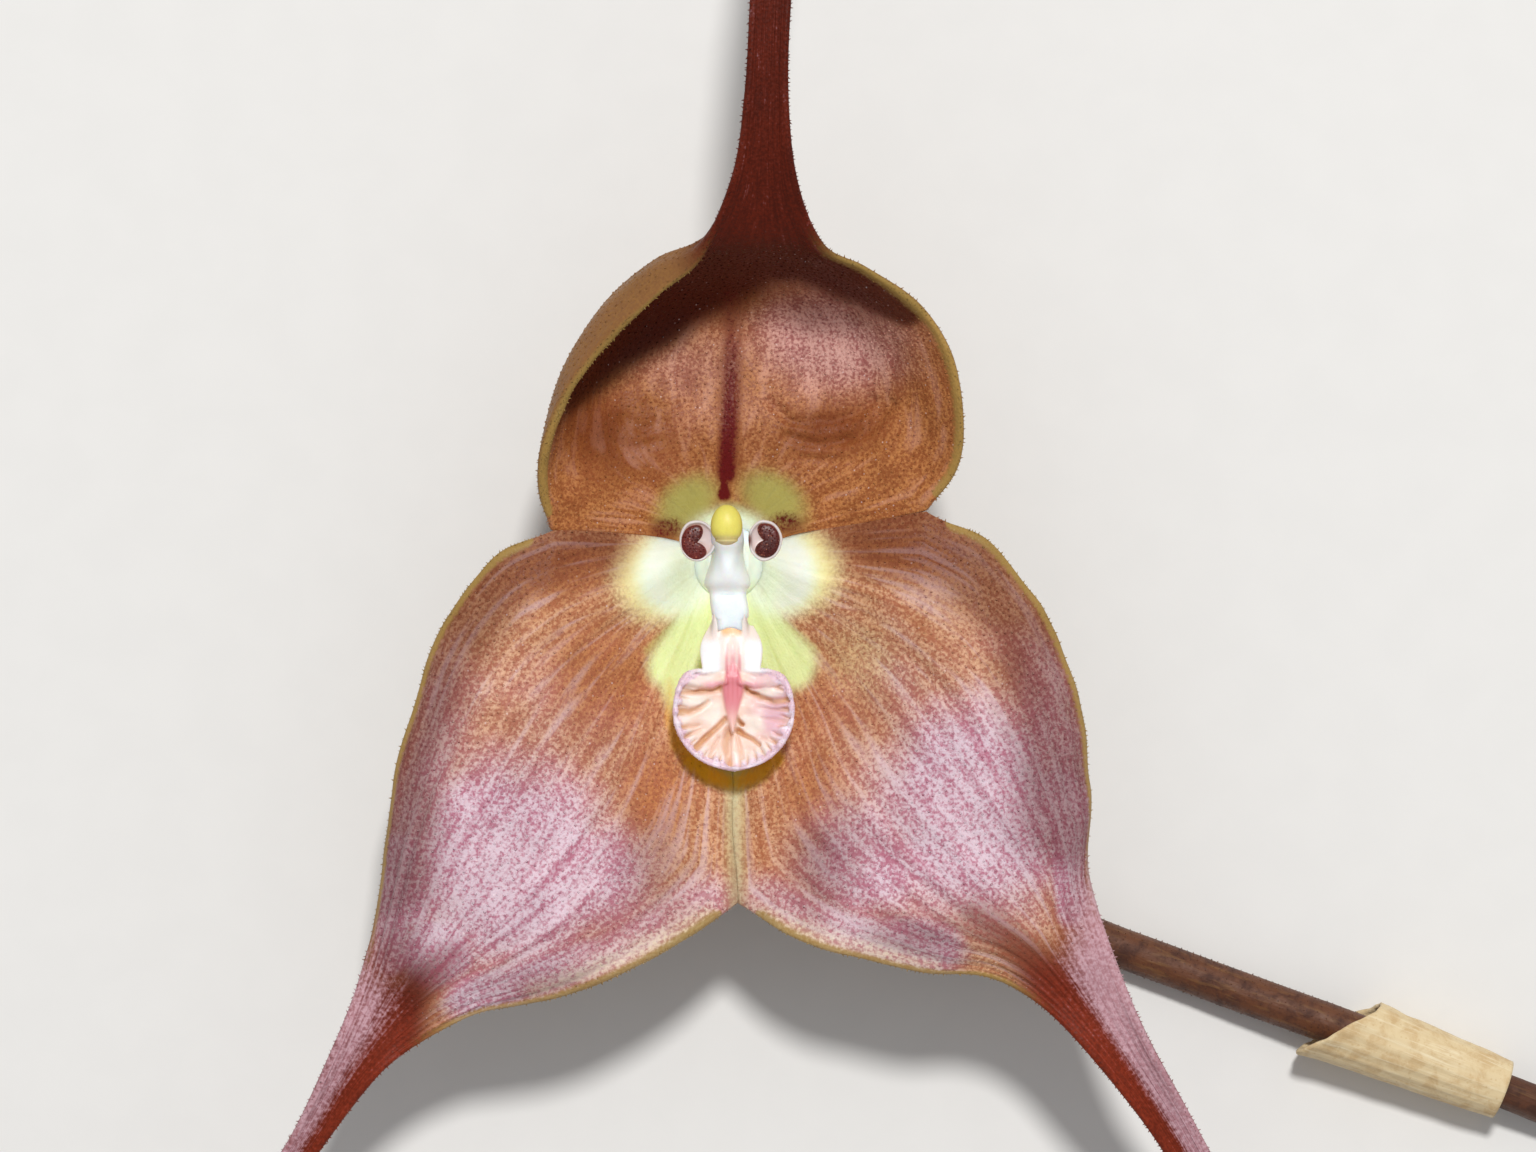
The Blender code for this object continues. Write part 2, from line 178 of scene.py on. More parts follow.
@dataclass(frozen=True)
class Ripple:
    """Smooth random waves over a plane, the same on every run.

    Attributes:
        seed: which waves.
        cell: the size of a wave in x and in y.
        lattice_size: how many waves pass before they repeat.
    """

    seed: int
    cell: Spot
    lattice_size: int = 97

    def at(self, x: Array, y: Array) -> Array:
        """The waves' height, from -1 to 1.

        Args:
            x: the places' x.
            y: the places' y.

        Returns:
            An array like x.
        """
        lattice = np.random.default_rng(self.seed).uniform(-1.0, 1.0, (self.lattice_size, self.lattice_size))
        u, v = np.asarray(x) / self.cell[0], np.asarray(y) / self.cell[1]
        i, j = np.floor(u).astype(int), np.floor(v).astype(int)
        across, up = ease(0.0, 1.0, u - i), ease(0.0, 1.0, v - j)

        def corner(di: int, dj: int) -> Array:
            """The lattice's value at a corner of the cell."""
            return lattice[(i + di) % self.lattice_size, (j + dj) % self.lattice_size]

        low = corner(0, 0) * (1 - across) + corner(1, 0) * across
        high = corner(0, 1) * (1 - across) + corner(1, 1) * across
        return low * (1 - up) + high * up


@dataclass(frozen=True)
class Blot:
    """A soft oval patch.

    Attributes:
        centre: its middle.
        half_sizes: its half width and half height, out to where it has faded.
        strength: its strength in the middle.
        core: the share of the half size that is at full strength.
        turn: how far it is turned, in degrees.
    """

    centre: Spot
    half_sizes: Spot
    strength: float = 1.0
    core: float = 0.1
    turn: float = 0.0

    def over(self, x: Array, y: Array) -> Array:
        """The patch's strength at some places."""
        angle = math.radians(self.turn)
        dx, dy = x - self.centre[0], y - self.centre[1]
        across = (dx * math.cos(angle) + dy * math.sin(angle)) / self.half_sizes[0]
        up = (dy * math.cos(angle) - dx * math.sin(angle)) / self.half_sizes[1]
        return self.strength * ease(1.0, self.core, np.hypot(across, up))


@dataclass(frozen=True)
class Band:
    """A soft band along a path.

    Attributes:
        path: the points it follows.
        half_widths: its half width at the path's start and end, out to where it has faded.
        strengths: its strength at the path's start and end.
        core: the share of the half width that is at full strength.
    """

    path: tuple[Spot, ...]
    half_widths: Spot
    strengths: Spot = (1.0, 1.0)
    core: float = 0.1

    def over(self, x: Array, y: Array) -> Array:
        """The band's strength at some places."""
        distance, along = distance_to_path(x, y, self.path)
        half_width = self.half_widths[0] + (self.half_widths[1] - self.half_widths[0]) * along
        strength = self.strengths[0] + (self.strengths[1] - self.strengths[0]) * along
        return strength * ease(1.0, self.core, distance / half_width)


Patch = Blot | Band


def strongest(patches: Sequence[Patch], x: Array, y: Array) -> Array:
    """The strongest of some patches at each place, or 0 where there is none."""
    result = np.zeros(np.shape(x))
    for patch in patches:
        result = np.maximum(result, patch.over(x, y))
    return result


# ---------------------------------------------------------------- meshes


def add_object(name: str, data: bpy.types.ID) -> Thing:
    """A new object in the scene with this mesh, light or camera."""
    thing = bpy.data.objects.new(name, data)
    bpy.context.scene.collection.objects.link(thing)
    return thing


@dataclass
class Skin:
    """A closed skin in the making, in millimetres.

    Attributes:
        points: its points, one a row.
        faces: the point indices of each face.
        marks: a number for each point under each attribute's name.
        uv: a place on the flat pattern for each point, or None.
    """

    points: Array
    faces: list[Sequence[int]]
    marks: dict[str, Array] = field(default_factory=dict)
    uv: Array | None = None

    def volume(self) -> float:
        """Six times the volume inside, below 0 where the faces point inwards."""
        total = 0.0
        for sides in {len(face) for face in self.faces}:
            corners = self.points[np.array([face for face in self.faces if len(face) == sides])]
            for k in range(1, sides - 1):
                total += float(np.sum(corners[:, 0] * np.cross(corners[:, k], corners[:, k + 1])))
        return total

    def make_object(self, name: str) -> Thing:
        """Turn the skin into a smooth-shaded object whose faces point outwards.

        Args:
            name: the object's name.

        Returns:
            The new object, still in millimetres.
        """
        faces = self.faces if self.volume() > 0 else [tuple(reversed(face)) for face in self.faces]
        mesh = bpy.data.meshes.new(name)
        mesh.from_pydata(self.points.tolist(), [], faces)
        mesh.update()
        mesh.shade_smooth()
        for mark, values in self.marks.items():
            attribute = mesh.attributes.new(mark, "FLOAT", "POINT")
            attribute.data.foreach_set("value", np.asarray(values, np.float32))
        if self.uv is not None:
            corner_points = np.zeros(len(mesh.loops), int)
            mesh.loops.foreach_get("vertex_index", corner_points)
            layer = mesh.uv_layers.new(name=UV_NAME)
            layer.data.foreach_set("uv", self.uv[corner_points].astype(np.float32).ravel())
        return add_object(name, mesh)


def ring_faces(rows: int, around: int, wrap: bool = False) -> list[Sequence[int]]:
    """The four-sided faces between loops of points.

    Args:
        rows: how many loops there are.
        around: how many points each loop has.
        wrap: whether the last loop joins on to the first.

    Returns:
        The faces.
    """
    low = np.arange(rows if wrap else rows - 1)
    high = (low + 1) % rows
    i = np.arange(around)
    j = (i + 1) % around
    corners = [low[:, None] * around + i, low[:, None] * around + j,
               high[:, None] * around + j, high[:, None] * around + i]
    return np.stack(corners, axis=-1).reshape(-1, 4).tolist()


def ring_skin(loops: Array, wrap: bool = False) -> Skin:
    """A closed skin over loops of points, with a fan over each end.

    Args:
        loops: the loops, each an array of points.
        wrap: whether the last loop joins on to the first, so that there are no ends.

    Returns:
        The skin, whose flat pattern runs round and along.
    """
    rows, around = loops.shape[:2]
    faces = ring_faces(rows, around, wrap)
    points = loops.reshape(-1, 3)
    middles = loops.mean(axis=1)
    along = np.concatenate([[0.0], np.cumsum(np.linalg.norm(np.diff(middles, axis=0), axis=1))])
    turn = np.linspace(0.0, 1.0, around, endpoint=False)
    uv = np.stack(np.broadcast_arrays(turn[None, :], along[:, None]), axis=-1).reshape(-1, 2)
    if not wrap:
        start, end = len(points), len(points) + 1
        last = (rows - 1) * around
        faces += [(start, (i + 1) % around, i) for i in range(around)]
        faces += [(end, last + i, last + (i + 1) % around) for i in range(around)]
        points = np.concatenate([points, middles[:1], middles[-1:]])
        uv = np.concatenate([uv, [[0.0, along[0]]], [[0.0, along[-1]]]])
    return Skin(points, faces, uv=uv)


@dataclass
class Sheet:
    """A sheet of tissue: the grid of its upper face, its thickness and how round its two long edges are.

    Attributes:
        top: the grid's points, in rows along the sheet.
        thickness: the thickness at each grid point.
        roundness: for each row, how far each edge bulges, as a share of half the thickness.
        marks: attributes for each grid point.
        uv: the flat pattern's place for each grid point.
        relief: how far the upper face stands above its smooth form at each grid point.
        edge_steps: how many rows of points go down each long edge.
    """

    top: Array
    thickness: Array
    roundness: Array
    marks: dict[str, Array]
    uv: Array
    relief: Array
    edge_steps: int = 3

    def normals(self) -> Array:
        """The upper face's direction at each grid point."""
        along = np.gradient(self.top, axis=0)
        across = np.gradient(self.top, axis=1)
        normal = unit(np.cross(across, along))
        return normal if normal[normal.shape[0] // 3, normal.shape[1] // 2, 2] > 0 else -normal

    def skin(self) -> Skin:
        """Close the sheet with its lower face and its edges.

        Returns:
            The skin, with the attributes `upper`, 1 on the upper face, and `edge`, 1 on a free edge.
        """
        normal = self.normals()
        bottom = self.top - normal * self.thickness[..., None]
        self.top = self.top + normal * self.relief[..., None]
        rows, columns = self.thickness.shape
        edges = [self._edge(normal, bottom, side) for side in (columns - 1, 0)]
        loops = np.concatenate([self.top, edges[0], bottom[:, ::-1], edges[1][:, ::-1]], axis=1)
        around = loops.shape[1]
        faces = ring_faces(rows, around)
        for row, flip in ((0, False), (rows - 1, True)):
            faces += self._end(row * around, columns, flip)
        steps = self.edge_steps

        def spread(values: Array) -> Array:
            """A grid's values for every point of the loops."""
            right, left = values[:, -1:].repeat(steps, 1), values[:, :1].repeat(steps, 1)
            return np.concatenate([values, right, values[:, ::-1], left], axis=1)

        marks = {name: spread(values).ravel() for name, values in self.marks.items()}
        fall = np.linspace(1.0, 0.0, steps + 2)[1:-1]
        upper = np.concatenate([np.ones(columns), fall, np.zeros(columns), fall[::-1]])
        rim = np.concatenate([np.zeros(columns), np.ones(steps), np.zeros(columns), np.ones(steps)])
        marks["upper"] = np.tile(upper, rows)
        marks["edge"] = (rim[None, :] * self.roundness[:, None]).ravel()
        uv = np.stack([spread(self.uv[..., k]) for k in (0, 1)], axis=-1).reshape(-1, 2)
        return Skin(loops.reshape(-1, 3), faces, marks, uv)

    def _edge(self, normal: Array, bottom: Array, side: int) -> Array:
        """The points down one long edge, from the upper face to the lower one."""
        margin = self.top[:, side]
        inward = self.top[:, 1 if side == 0 else side - 1] - margin
        outward = unit(np.cross(np.gradient(margin, axis=0), normal[:, side]))
        facing = np.sign(-np.sum(outward * inward, axis=-1, keepdims=True))
        outward = outward * np.where(facing == 0, 1.0, facing)
        middle = (margin + bottom[:, side]) / 2
        half = (margin - bottom[:, side]) / 2
        bulge = outward * (np.linalg.norm(half, axis=-1) * self.roundness)[:, None]
        turns = np.linspace(math.pi / 2, -math.pi / 2, self.edge_steps + 2)[1:-1]
        return np.stack([middle + half * math.sin(turn) + bulge * math.cos(turn) for turn in turns], axis=1)

    def _end(self, first: int, columns: int, flip: bool) -> list[Sequence[int]]:
        """The faces that close one end of the sheet."""
        steps = self.edge_steps
        lower = [first + columns + steps + columns - 1 - i for i in range(columns)]
        faces = [[first + i, first + i + 1, lower[i + 1], lower[i]] for i in range(columns - 1)]
        right = [first + columns - 1 + k for k in range(steps + 2)]
        left = [lower[0]] + [first + 2 * columns + steps + k for k in range(steps)] + [first]
        faces += [right, left]
        return [face if flip else face[::-1] for face in faces]


def finish_piece(thing: Thing, node: str, material: Material | None = None,
                 shadow: bool = True) -> None:
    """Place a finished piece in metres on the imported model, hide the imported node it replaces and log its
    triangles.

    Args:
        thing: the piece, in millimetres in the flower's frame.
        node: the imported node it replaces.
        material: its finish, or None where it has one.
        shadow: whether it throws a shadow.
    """
    if material is not None:
        thing.data.materials.append(material)
    thing.visible_shadow = shadow
    thing.data.transform(Matrix.Scale(MM, 4) @ Matrix.Translation((*FLOWER_AT, 0.0)))
    thing.data.update()
    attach(thing, BODY)
    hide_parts(node)
    triangles = sum(len(face.vertices) - 2 for face in thing.data.polygons)
    LOG.info("%s: %d triangles", thing.name, triangles)


# ---------------------------------------------------------------- Geometry Nodes


class Nodes:
    """Makes and joins the nodes of one node tree."""

    def __init__(self, tree: bpy.types.NodeTree) -> None:
        """Work on this tree."""
        self.nodes = tree.nodes
        self.links = tree.links

    def feed(self, socket: Socket, value: Input) -> None:
        """Join a socket to another one, or set its value."""
        if isinstance(value, Socket):
            self.links.new(value, socket)
        else:
            socket.default_value = value

    def node(self, kind: str, inputs: dict[str | int, Input] | None = None,
             **settings: Any) -> bpy.types.Node:
        """Add a node.

        Args:
            kind: the node's type name.
            inputs: a value or a socket for each input, by name or number.
            settings: the node's own settings.

        Returns:
            The node.
        """
        node = self.nodes.new(kind)
        for setting, value in settings.items():
            setattr(node, setting, value)
        for key, value in (inputs or {}).items():
            self.feed(node.inputs[key], value)
        return node

    def math(self, operation: str, first: Input, second: Input = 0.0) -> Socket:
        """The result of one sum."""
        return self.node("ShaderNodeMath", {0: first, 1: second}, operation=operation).outputs[0]

    def plus(self, first: Input, second: Input) -> Socket:
        """Two numbers' sum."""
        return self.math("ADD", first, second)

    def minus(self, first: Input, second: Input) -> Socket:
        """The first number less the second."""
        return self.math("SUBTRACT", first, second)

    def times(self, first: Input, second: Input) -> Socket:
        """Two numbers' product."""
        return self.math("MULTIPLY", first, second)


class Tree(Nodes):
    """Builds one Geometry Nodes tree with named inputs."""

    def __init__(self, name: str) -> None:
        """Start an empty tree that takes and gives geometry."""
        self.group = bpy.data.node_groups.new(name, "GeometryNodeTree")
        super().__init__(self.group)
        for way in ("OUTPUT", "INPUT"):
            self.group.interface.new_socket("Geometry", in_out=way, socket_type="NodeSocketGeometry")
        self.entry = self.nodes.new("NodeGroupInput")
        self.identifiers: dict[str, str] = {}

    def take(self, name: str, kind: str = "Float") -> Socket:
        """Add a named input to the tree.

        Args:
            name: the input's name.
            kind: the socket's kind, such as Float, Int or Material.

        Returns:
            The socket that gives the input's value inside the tree.
        """
        socket = self.group.interface.new_socket(name, in_out="INPUT", socket_type=f"NodeSocket{kind}")
        self.identifiers[name] = socket.identifier
        return self.entry.outputs[name]

    def read(self, name: str) -> Socket:
        """The value of a named attribute."""
        return self.node("GeometryNodeInputNamedAttribute", {"Name": name}, data_type="FLOAT").outputs[0]

    def store(self, geometry: Socket, name: str, value: Input, data_type: str = "FLOAT",
              domain: str = "POINT") -> Socket:
        """The geometry with a value stored as a named attribute."""
        inputs = {"Geometry": geometry, "Name": name, "Value": value}
        return self.node("GeometryNodeStoreNamedAttribute", inputs, data_type=data_type,
                         domain=domain).outputs[0]

    def finish(self, geometry: Socket, material: Socket) -> None:
        """End the tree in Realize Instances and Set Material."""
        real = self.node("GeometryNodeRealizeInstances", {"Geometry": geometry})
        dressed = self.node("GeometryNodeSetMaterial", {"Geometry": real.outputs[0], "Material": material})
        self.node("NodeGroupOutput", {"Geometry": dressed.outputs[0]})

    def apply(self, thing: Thing, values: dict[str, Any]) -> None:
        """Run the tree on an object and keep the result as its plain mesh.

        Args:
            thing: the object.
            values: a value for each named input.
        """
        modifier = thing.modifiers.new(self.group.name, "NODES")
        modifier.node_group = self.group
        for name, value in values.items():
            modifier[self.identifiers[name]] = value
        depsgraph = bpy.context.evaluated_depsgraph_get()
        mesh = bpy.data.meshes.new_from_object(thing.evaluated_get(depsgraph), preserve_all_data_layers=True,
                                               depsgraph=depsgraph)
        thing.modifiers.remove(modifier)
        rough = thing.data
        thing.data = mesh
        bpy.data.meshes.remove(rough)


@dataclass(frozen=True)
class Growth:
    """Small pointed or domed growths over the part of a surface whose attribute `mark` is above a half.

    Attributes:
        mark: the attribute's name.
        spacing: the least distance between two growths.
        radius: a growth's radius at its foot.
        height: its height.
        top_share: its top's radius, as a share of its foot's.
        sides: how many sides it has.
        tilt: how far it may lean, in degrees.
        smallest: the smallest one's size, as a share of the largest.
        sunk: how far its foot is sunk into the surface, as a share of its height.
        seed: which arrangement.
        densest: the most growths on a square millimetre.
    """

    mark: str
    spacing: float
    radius: float
    height: float
    top_share: float = 0.4
    sides: int = 5
    tilt: float = 15.0
    smallest: float = 0.5
    sunk: float = 0.25
    seed: int = 1
    densest: float = 200.0

    def tree(self) -> Tree:
        """Build the tree that scatters the growths.

        Returns:
            A tree with the inputs Spacing, Radius, Height, Top share, Tilt, Smallest, Sunk, Seed
            and Material.
        """
        tree = Tree(f"growth_on_{self.mark}")
        spacing, radius, height = (tree.take(name) for name in ("Spacing", "Radius", "Height"))
        top_share, tilt = tree.take("Top share"), tree.take("Tilt")
        smallest, sunk = tree.take("Smallest"), tree.take("Sunk")
        seed, material = tree.take("Seed", "Int"), tree.take("Material", "Material")
        geometry = tree.entry.outputs["Geometry"]
        chosen = tree.node("FunctionNodeCompare", {0: tree.read(self.mark), 1: 0.5}, data_type="FLOAT",
                           operation="GREATER_THAN")
        points = tree.node("GeometryNodeDistributePointsOnFaces",
                           {"Mesh": geometry, "Selection": chosen.outputs[0], "Distance Min": spacing,
                            "Density Max": self.densest, "Density Factor": 1.0, "Seed": seed},
                           distribute_method="POISSON")
        cone = tree.node("GeometryNodeMeshCone",
                         {"Vertices": self.sides, "Side Segments": 1, "Fill Segments": 1,
                          "Radius Top": tree.times(radius, top_share), "Radius Bottom": radius,
                          "Depth": height},
                         fill_type="NGON")
        down = tree.times(tree.times(height, sunk), -1.0)
        drop = tree.node("ShaderNodeCombineXYZ", {"Z": down})
        sunken = tree.node("GeometryNodeTransform",
                           {"Geometry": cone.outputs[0], "Translation": drop.outputs[0]})
        flat = tree.node("GeometryNodeSetShadeSmooth", {0: sunken.outputs[0], "Shade Smooth": False})
        smooth = tree.node("GeometryNodeSetShadeSmooth",
                           {0: flat.outputs[0], "Selection": cone.outputs["Side"], "Shade Smooth": True})
        low = tree.times(tilt, -1.0)
        least = tree.node("ShaderNodeCombineXYZ", {"X": low, "Y": low, "Z": 0.0})
        most = tree.node("ShaderNodeCombineXYZ", {"X": tilt, "Y": tilt, "Z": 2 * math.pi})
        lean = tree.node("FunctionNodeRandomValue",
                         {"Min": least.outputs[0], "Max": most.outputs[0], "Seed": seed},
                         data_type="FLOAT_VECTOR")
        turned = tree.node("FunctionNodeRotateRotation",
                           {"Rotation": points.outputs["Rotation"], "Rotate By": lean.outputs[0]},
                           rotation_space="LOCAL")
        size = tree.node("FunctionNodeRandomValue", {2: smallest, 3: 1.0, "Seed": seed}, data_type="FLOAT")
        placed = tree.node("GeometryNodeInstanceOnPoints",
                           {"Points": points.outputs["Points"], "Instance": smooth.outputs[0],
                            "Rotation": turned.outputs[0], "Scale": size.outputs[1]})
        joined = tree.node("GeometryNodeJoinGeometry", {0: geometry})
        tree.links.new(placed.outputs[0], joined.inputs[0])
        tree.finish(joined.outputs[0], material)
        return tree

    def grow(self, thing: Thing, material: Material) -> None:
        """Scatter the growths over an object and dress the result.

        Args:
            thing: the object.
            material: the finish of the surface and of its growths.
        """
        self.tree().apply(thing, {
            "Spacing": self.spacing, "Radius": self.radius, "Height": self.height,
            "Top share": self.top_share, "Tilt": math.radians(self.tilt), "Smallest": self.smallest,
            "Sunk": self.sunk, "Seed": self.seed, "Material": material})


# ---------------------------------------------------------------- finishes


def tint(red: int, green: int, blue: int) -> Tint:
    """A display colour's three levels, 0 to 255, as the linear colour a shader takes."""
    levels = [level / 255 for level in (red, green, blue)]
    linear = [level / 12.92 if level <= 0.04045 else ((level + 0.055) / 1.055) ** 2.4 for level in levels]
    return (linear[0], linear[1], linear[2], 1.0)


class Wiring(Nodes):
    """Makes and joins the nodes of one finish, with places in millimetres."""

    def __init__(self, name: str) -> None:
        """Start a material that has only its main shader."""
        self.material = bpy.data.materials.new(name)
        self.material.use_nodes = True
        super().__init__(self.material.node_tree)
        self.shader = self.nodes["Principled BSDF"]

    def place(self) -> Socket:
        """The place on the piece in millimetres."""
        coordinates = self.node("ShaderNodeTexCoord")
        scale = (1 / MM, 1 / MM, 1 / MM)
        mapping = self.node("ShaderNodeMapping", {"Vector": coordinates.outputs["Object"], "Scale": scale})
        return mapping.outputs[0]

    def pattern_place(self, cell: Spot) -> Socket:
        """The place on the flat pattern, counted in cells of this width and length."""
        flat = self.node("ShaderNodeUVMap", uv_map=UV_NAME)
        scale = (1 / cell[0], 1 / cell[1], 1.0)
        return self.node("ShaderNodeMapping", {"Vector": flat.outputs[0], "Scale": scale}).outputs[0]

    def mark(self, name: str) -> Socket:
        """The value of one of the mesh's attributes."""
        return self.node("ShaderNodeAttribute", attribute_name=name).outputs["Fac"]

    def ramp(self, value: Input, low: float, high: float, start: float = 0.0, end: float = 1.0) -> Socket:
        """A soft ramp.

        Args:
            value: what goes on the ramp.
            low: where the ramp starts.
            high: where it ends.
            start: its value at low.
            end: its value at high.

        Returns:
            The ramp's value.
        """
        inputs = {"Value": value, "From Min": low, "From Max": high, "To Min": start, "To Max": end}
        return self.node("ShaderNodeMapRange", inputs, interpolation_type="SMOOTHSTEP").outputs[0]

    def mix(self, share: Input, first: Input, second: Input) -> Socket:
        """A colour between two others."""
        return self.node("ShaderNodeMix", {0: share, 6: first, 7: second}, data_type="RGBA").outputs[2]

    def filtered(self, colour: Input, tinting: Input) -> Socket:
        """A colour as seen through another."""
        return self.node("ShaderNodeMix", {0: 1.0, 6: colour, 7: tinting}, data_type="RGBA",
                         blend_type="MULTIPLY").outputs[2]

    def shade(self, colour: Input, amount: Input) -> Socket:
        """A colour made darker or lighter by a factor."""
        grey = self.node("ShaderNodeCombineColor", {0: amount, 1: amount, 2: amount})
        return self.filtered(colour, grey.outputs[0])

    def noise(self, place: Input, scale: float, detail: float = 2.0, roughness: float = 0.5,
              distortion: float = 0.0) -> Socket:
        """Soft noise from 0 to 1.

        Args:
            place: where.
            scale: waves to a unit of place.
            detail: how many finer layers it has.
            roughness: how strong they are.
            distortion: how far it swirls.

        Returns:
            The noise.
        """
        inputs = {"Vector": place, "Scale": scale, "Detail": detail, "Roughness": roughness,
                  "Distortion": distortion}
        return self.node("ShaderNodeTexNoise", inputs).outputs[0]

    def cells(self, place: Input, scale: float) -> bpy.types.Node:
        """A pattern of cells, whose outputs are the distance from each middle and a colour a cell."""
        return self.node("ShaderNodeTexVoronoi", {"Vector": place, "Scale": scale})

    def bump(self, height: Input, strength: float) -> Socket:
        """The normal of bumps whose height is in millimetres, at this strength."""
        bumps = self.node("ShaderNodeBump", {"Height": height, "Strength": strength, "Distance": MM})
        return bumps.outputs[0]

    def finish(self, colour: Input, roughness: Input, normal: Input | None = None,
               **sockets: float | Sequence[float]) -> Material:
        """Join the main shader.

        Args:
            colour: the base colour.
            roughness: the roughness.
            normal: the bumped normal, or None.
            sockets: other sockets of the shader, with _ for a space, set to plain values.

        Returns:
            The material.
        """
        self.feed(self.shader.inputs["Base Color"], colour)
        self.feed(self.shader.inputs["Roughness"], roughness)
        if normal is not None:
            self.feed(self.shader.inputs["Normal"], normal)
        for name, value in sockets.items():
            self.shader.inputs[name.replace("_", " ")].default_value = value
        return self.material


class Zone(Enum):
    """The areas of a sepal's upper face that have a colour of their own, or painted light and shade, each one
    an attribute.
    """

    LILAC = "lilac"
    PALE = "pale"
    RED = "red"
    WHITE = "white"
    YELLOW = "yellow"
    CHANNEL = "channel"
    OLIVE = "olive"
    OCHRE = "ochre"
    STRIPE = "stripe"
    DEEP = "deep"
    DUSK = "dusk"


# For each zone's ramp, where it starts and ends, and how ragged the zone's edge is
ZONE_EDGES = {
    Zone.DEEP: (0.0, 1.1, 0.3), Zone.RED: (0.0, 1.0, 0.5), Zone.YELLOW: (0.0, 0.9, 0.5),
    Zone.OLIVE: (0.0, 1.0, 0.45), Zone.CHANNEL: (0.0, 1.0, 0.35), Zone.WHITE: (0.0, 0.9, 0.25),
    Zone.OCHRE: (0.0, 1.0, 0.4), Zone.DUSK: (0.0, 1.0, 0.2), Zone.STRIPE: (0.05, 1.0, 1.5)}


class SepalWiring(Wiring):
    """The wiring of a sepal's tissue, with the noises and the shares that its colours use.

    Attributes:
        at: the place on the piece.
        cloud: broad noise.
        fine: noise as fine as the speckle.
        ragged: the same about 0.
        streak: long streaks along the veins.
        thread: short ones.
        lilac: how lilac the tissue is.
        deep: how deep its warm colour is.
        hollow: how strongly the streaks' dark side shows.
        speck: how strongly the speckle shows.
    """

    def __init__(self, name: str, speck_pitch: float, streak_cell: Spot, vein_strength: float) -> None:
        """Start a material and make what its colours share.

        Args:
            name: the material's name.
            speck_pitch: the speckle's size, in millimetres.
            streak_cell: a streak's share of the way across, and its length in millimetres.
            vein_strength: how strongly the streaks show.
        """
        super().__init__(name)
        thread_cell = (speck_pitch * 1.5, speck_pitch * 8)
        self.at = self.place()
        self.cloud = self.noise(self.at, 0.45, 3.0)
        self.fine = self.noise(self.at, 1 / speck_pitch, 2.0, 0.6, 0.2)
        self.ragged = self.minus(self.fine, 0.5)
        self.streak = self.noise(self.pattern_place(streak_cell), 1.0, 2.0, 0.5, 0.35)
        self.thread = self.noise(self.pattern_place(thread_cell), 1.0, 2.0, 0.6, 0.3)
        lilac = self.plus(self.mark(Zone.LILAC.value), self.centred(self.cloud, 0.5))
        self.lilac = self.ramp(lilac, 0.0, 1.0)
        self.deep = self.zone(Zone.DEEP)
        self.hollow = self.times(self.ramp(self.streak, 0.5, 0.3), vein_strength)
        level = self.plus(self.times(self.fine, 0.74), self.times(self.thread, 0.26))
        level = self.plus(level, self.centred(self.streak, 0.22))
        level = self.plus(level, self.times(self.mark(Zone.PALE.value), 0.055))
        self.speck = self.ramp(self.minus(level, 0.014), 0.62, 0.38)

    def centred(self, value: Socket, strength: float) -> Socket:
        """A noise about 0, at this strength."""
        return self.times(self.minus(value, 0.5), strength)

    def zone(self, kind: Zone) -> Socket:
        """A zone's strength on a soft ramp with a ragged edge."""
        low, high, rough = ZONE_EDGES[kind]
        mark = self.mark(kind.value)
        fray = self.times(self.times(self.ragged, rough), self.ramp(mark, 0.0, 0.25))
        return self.ramp(self.plus(mark, fray), low, high)


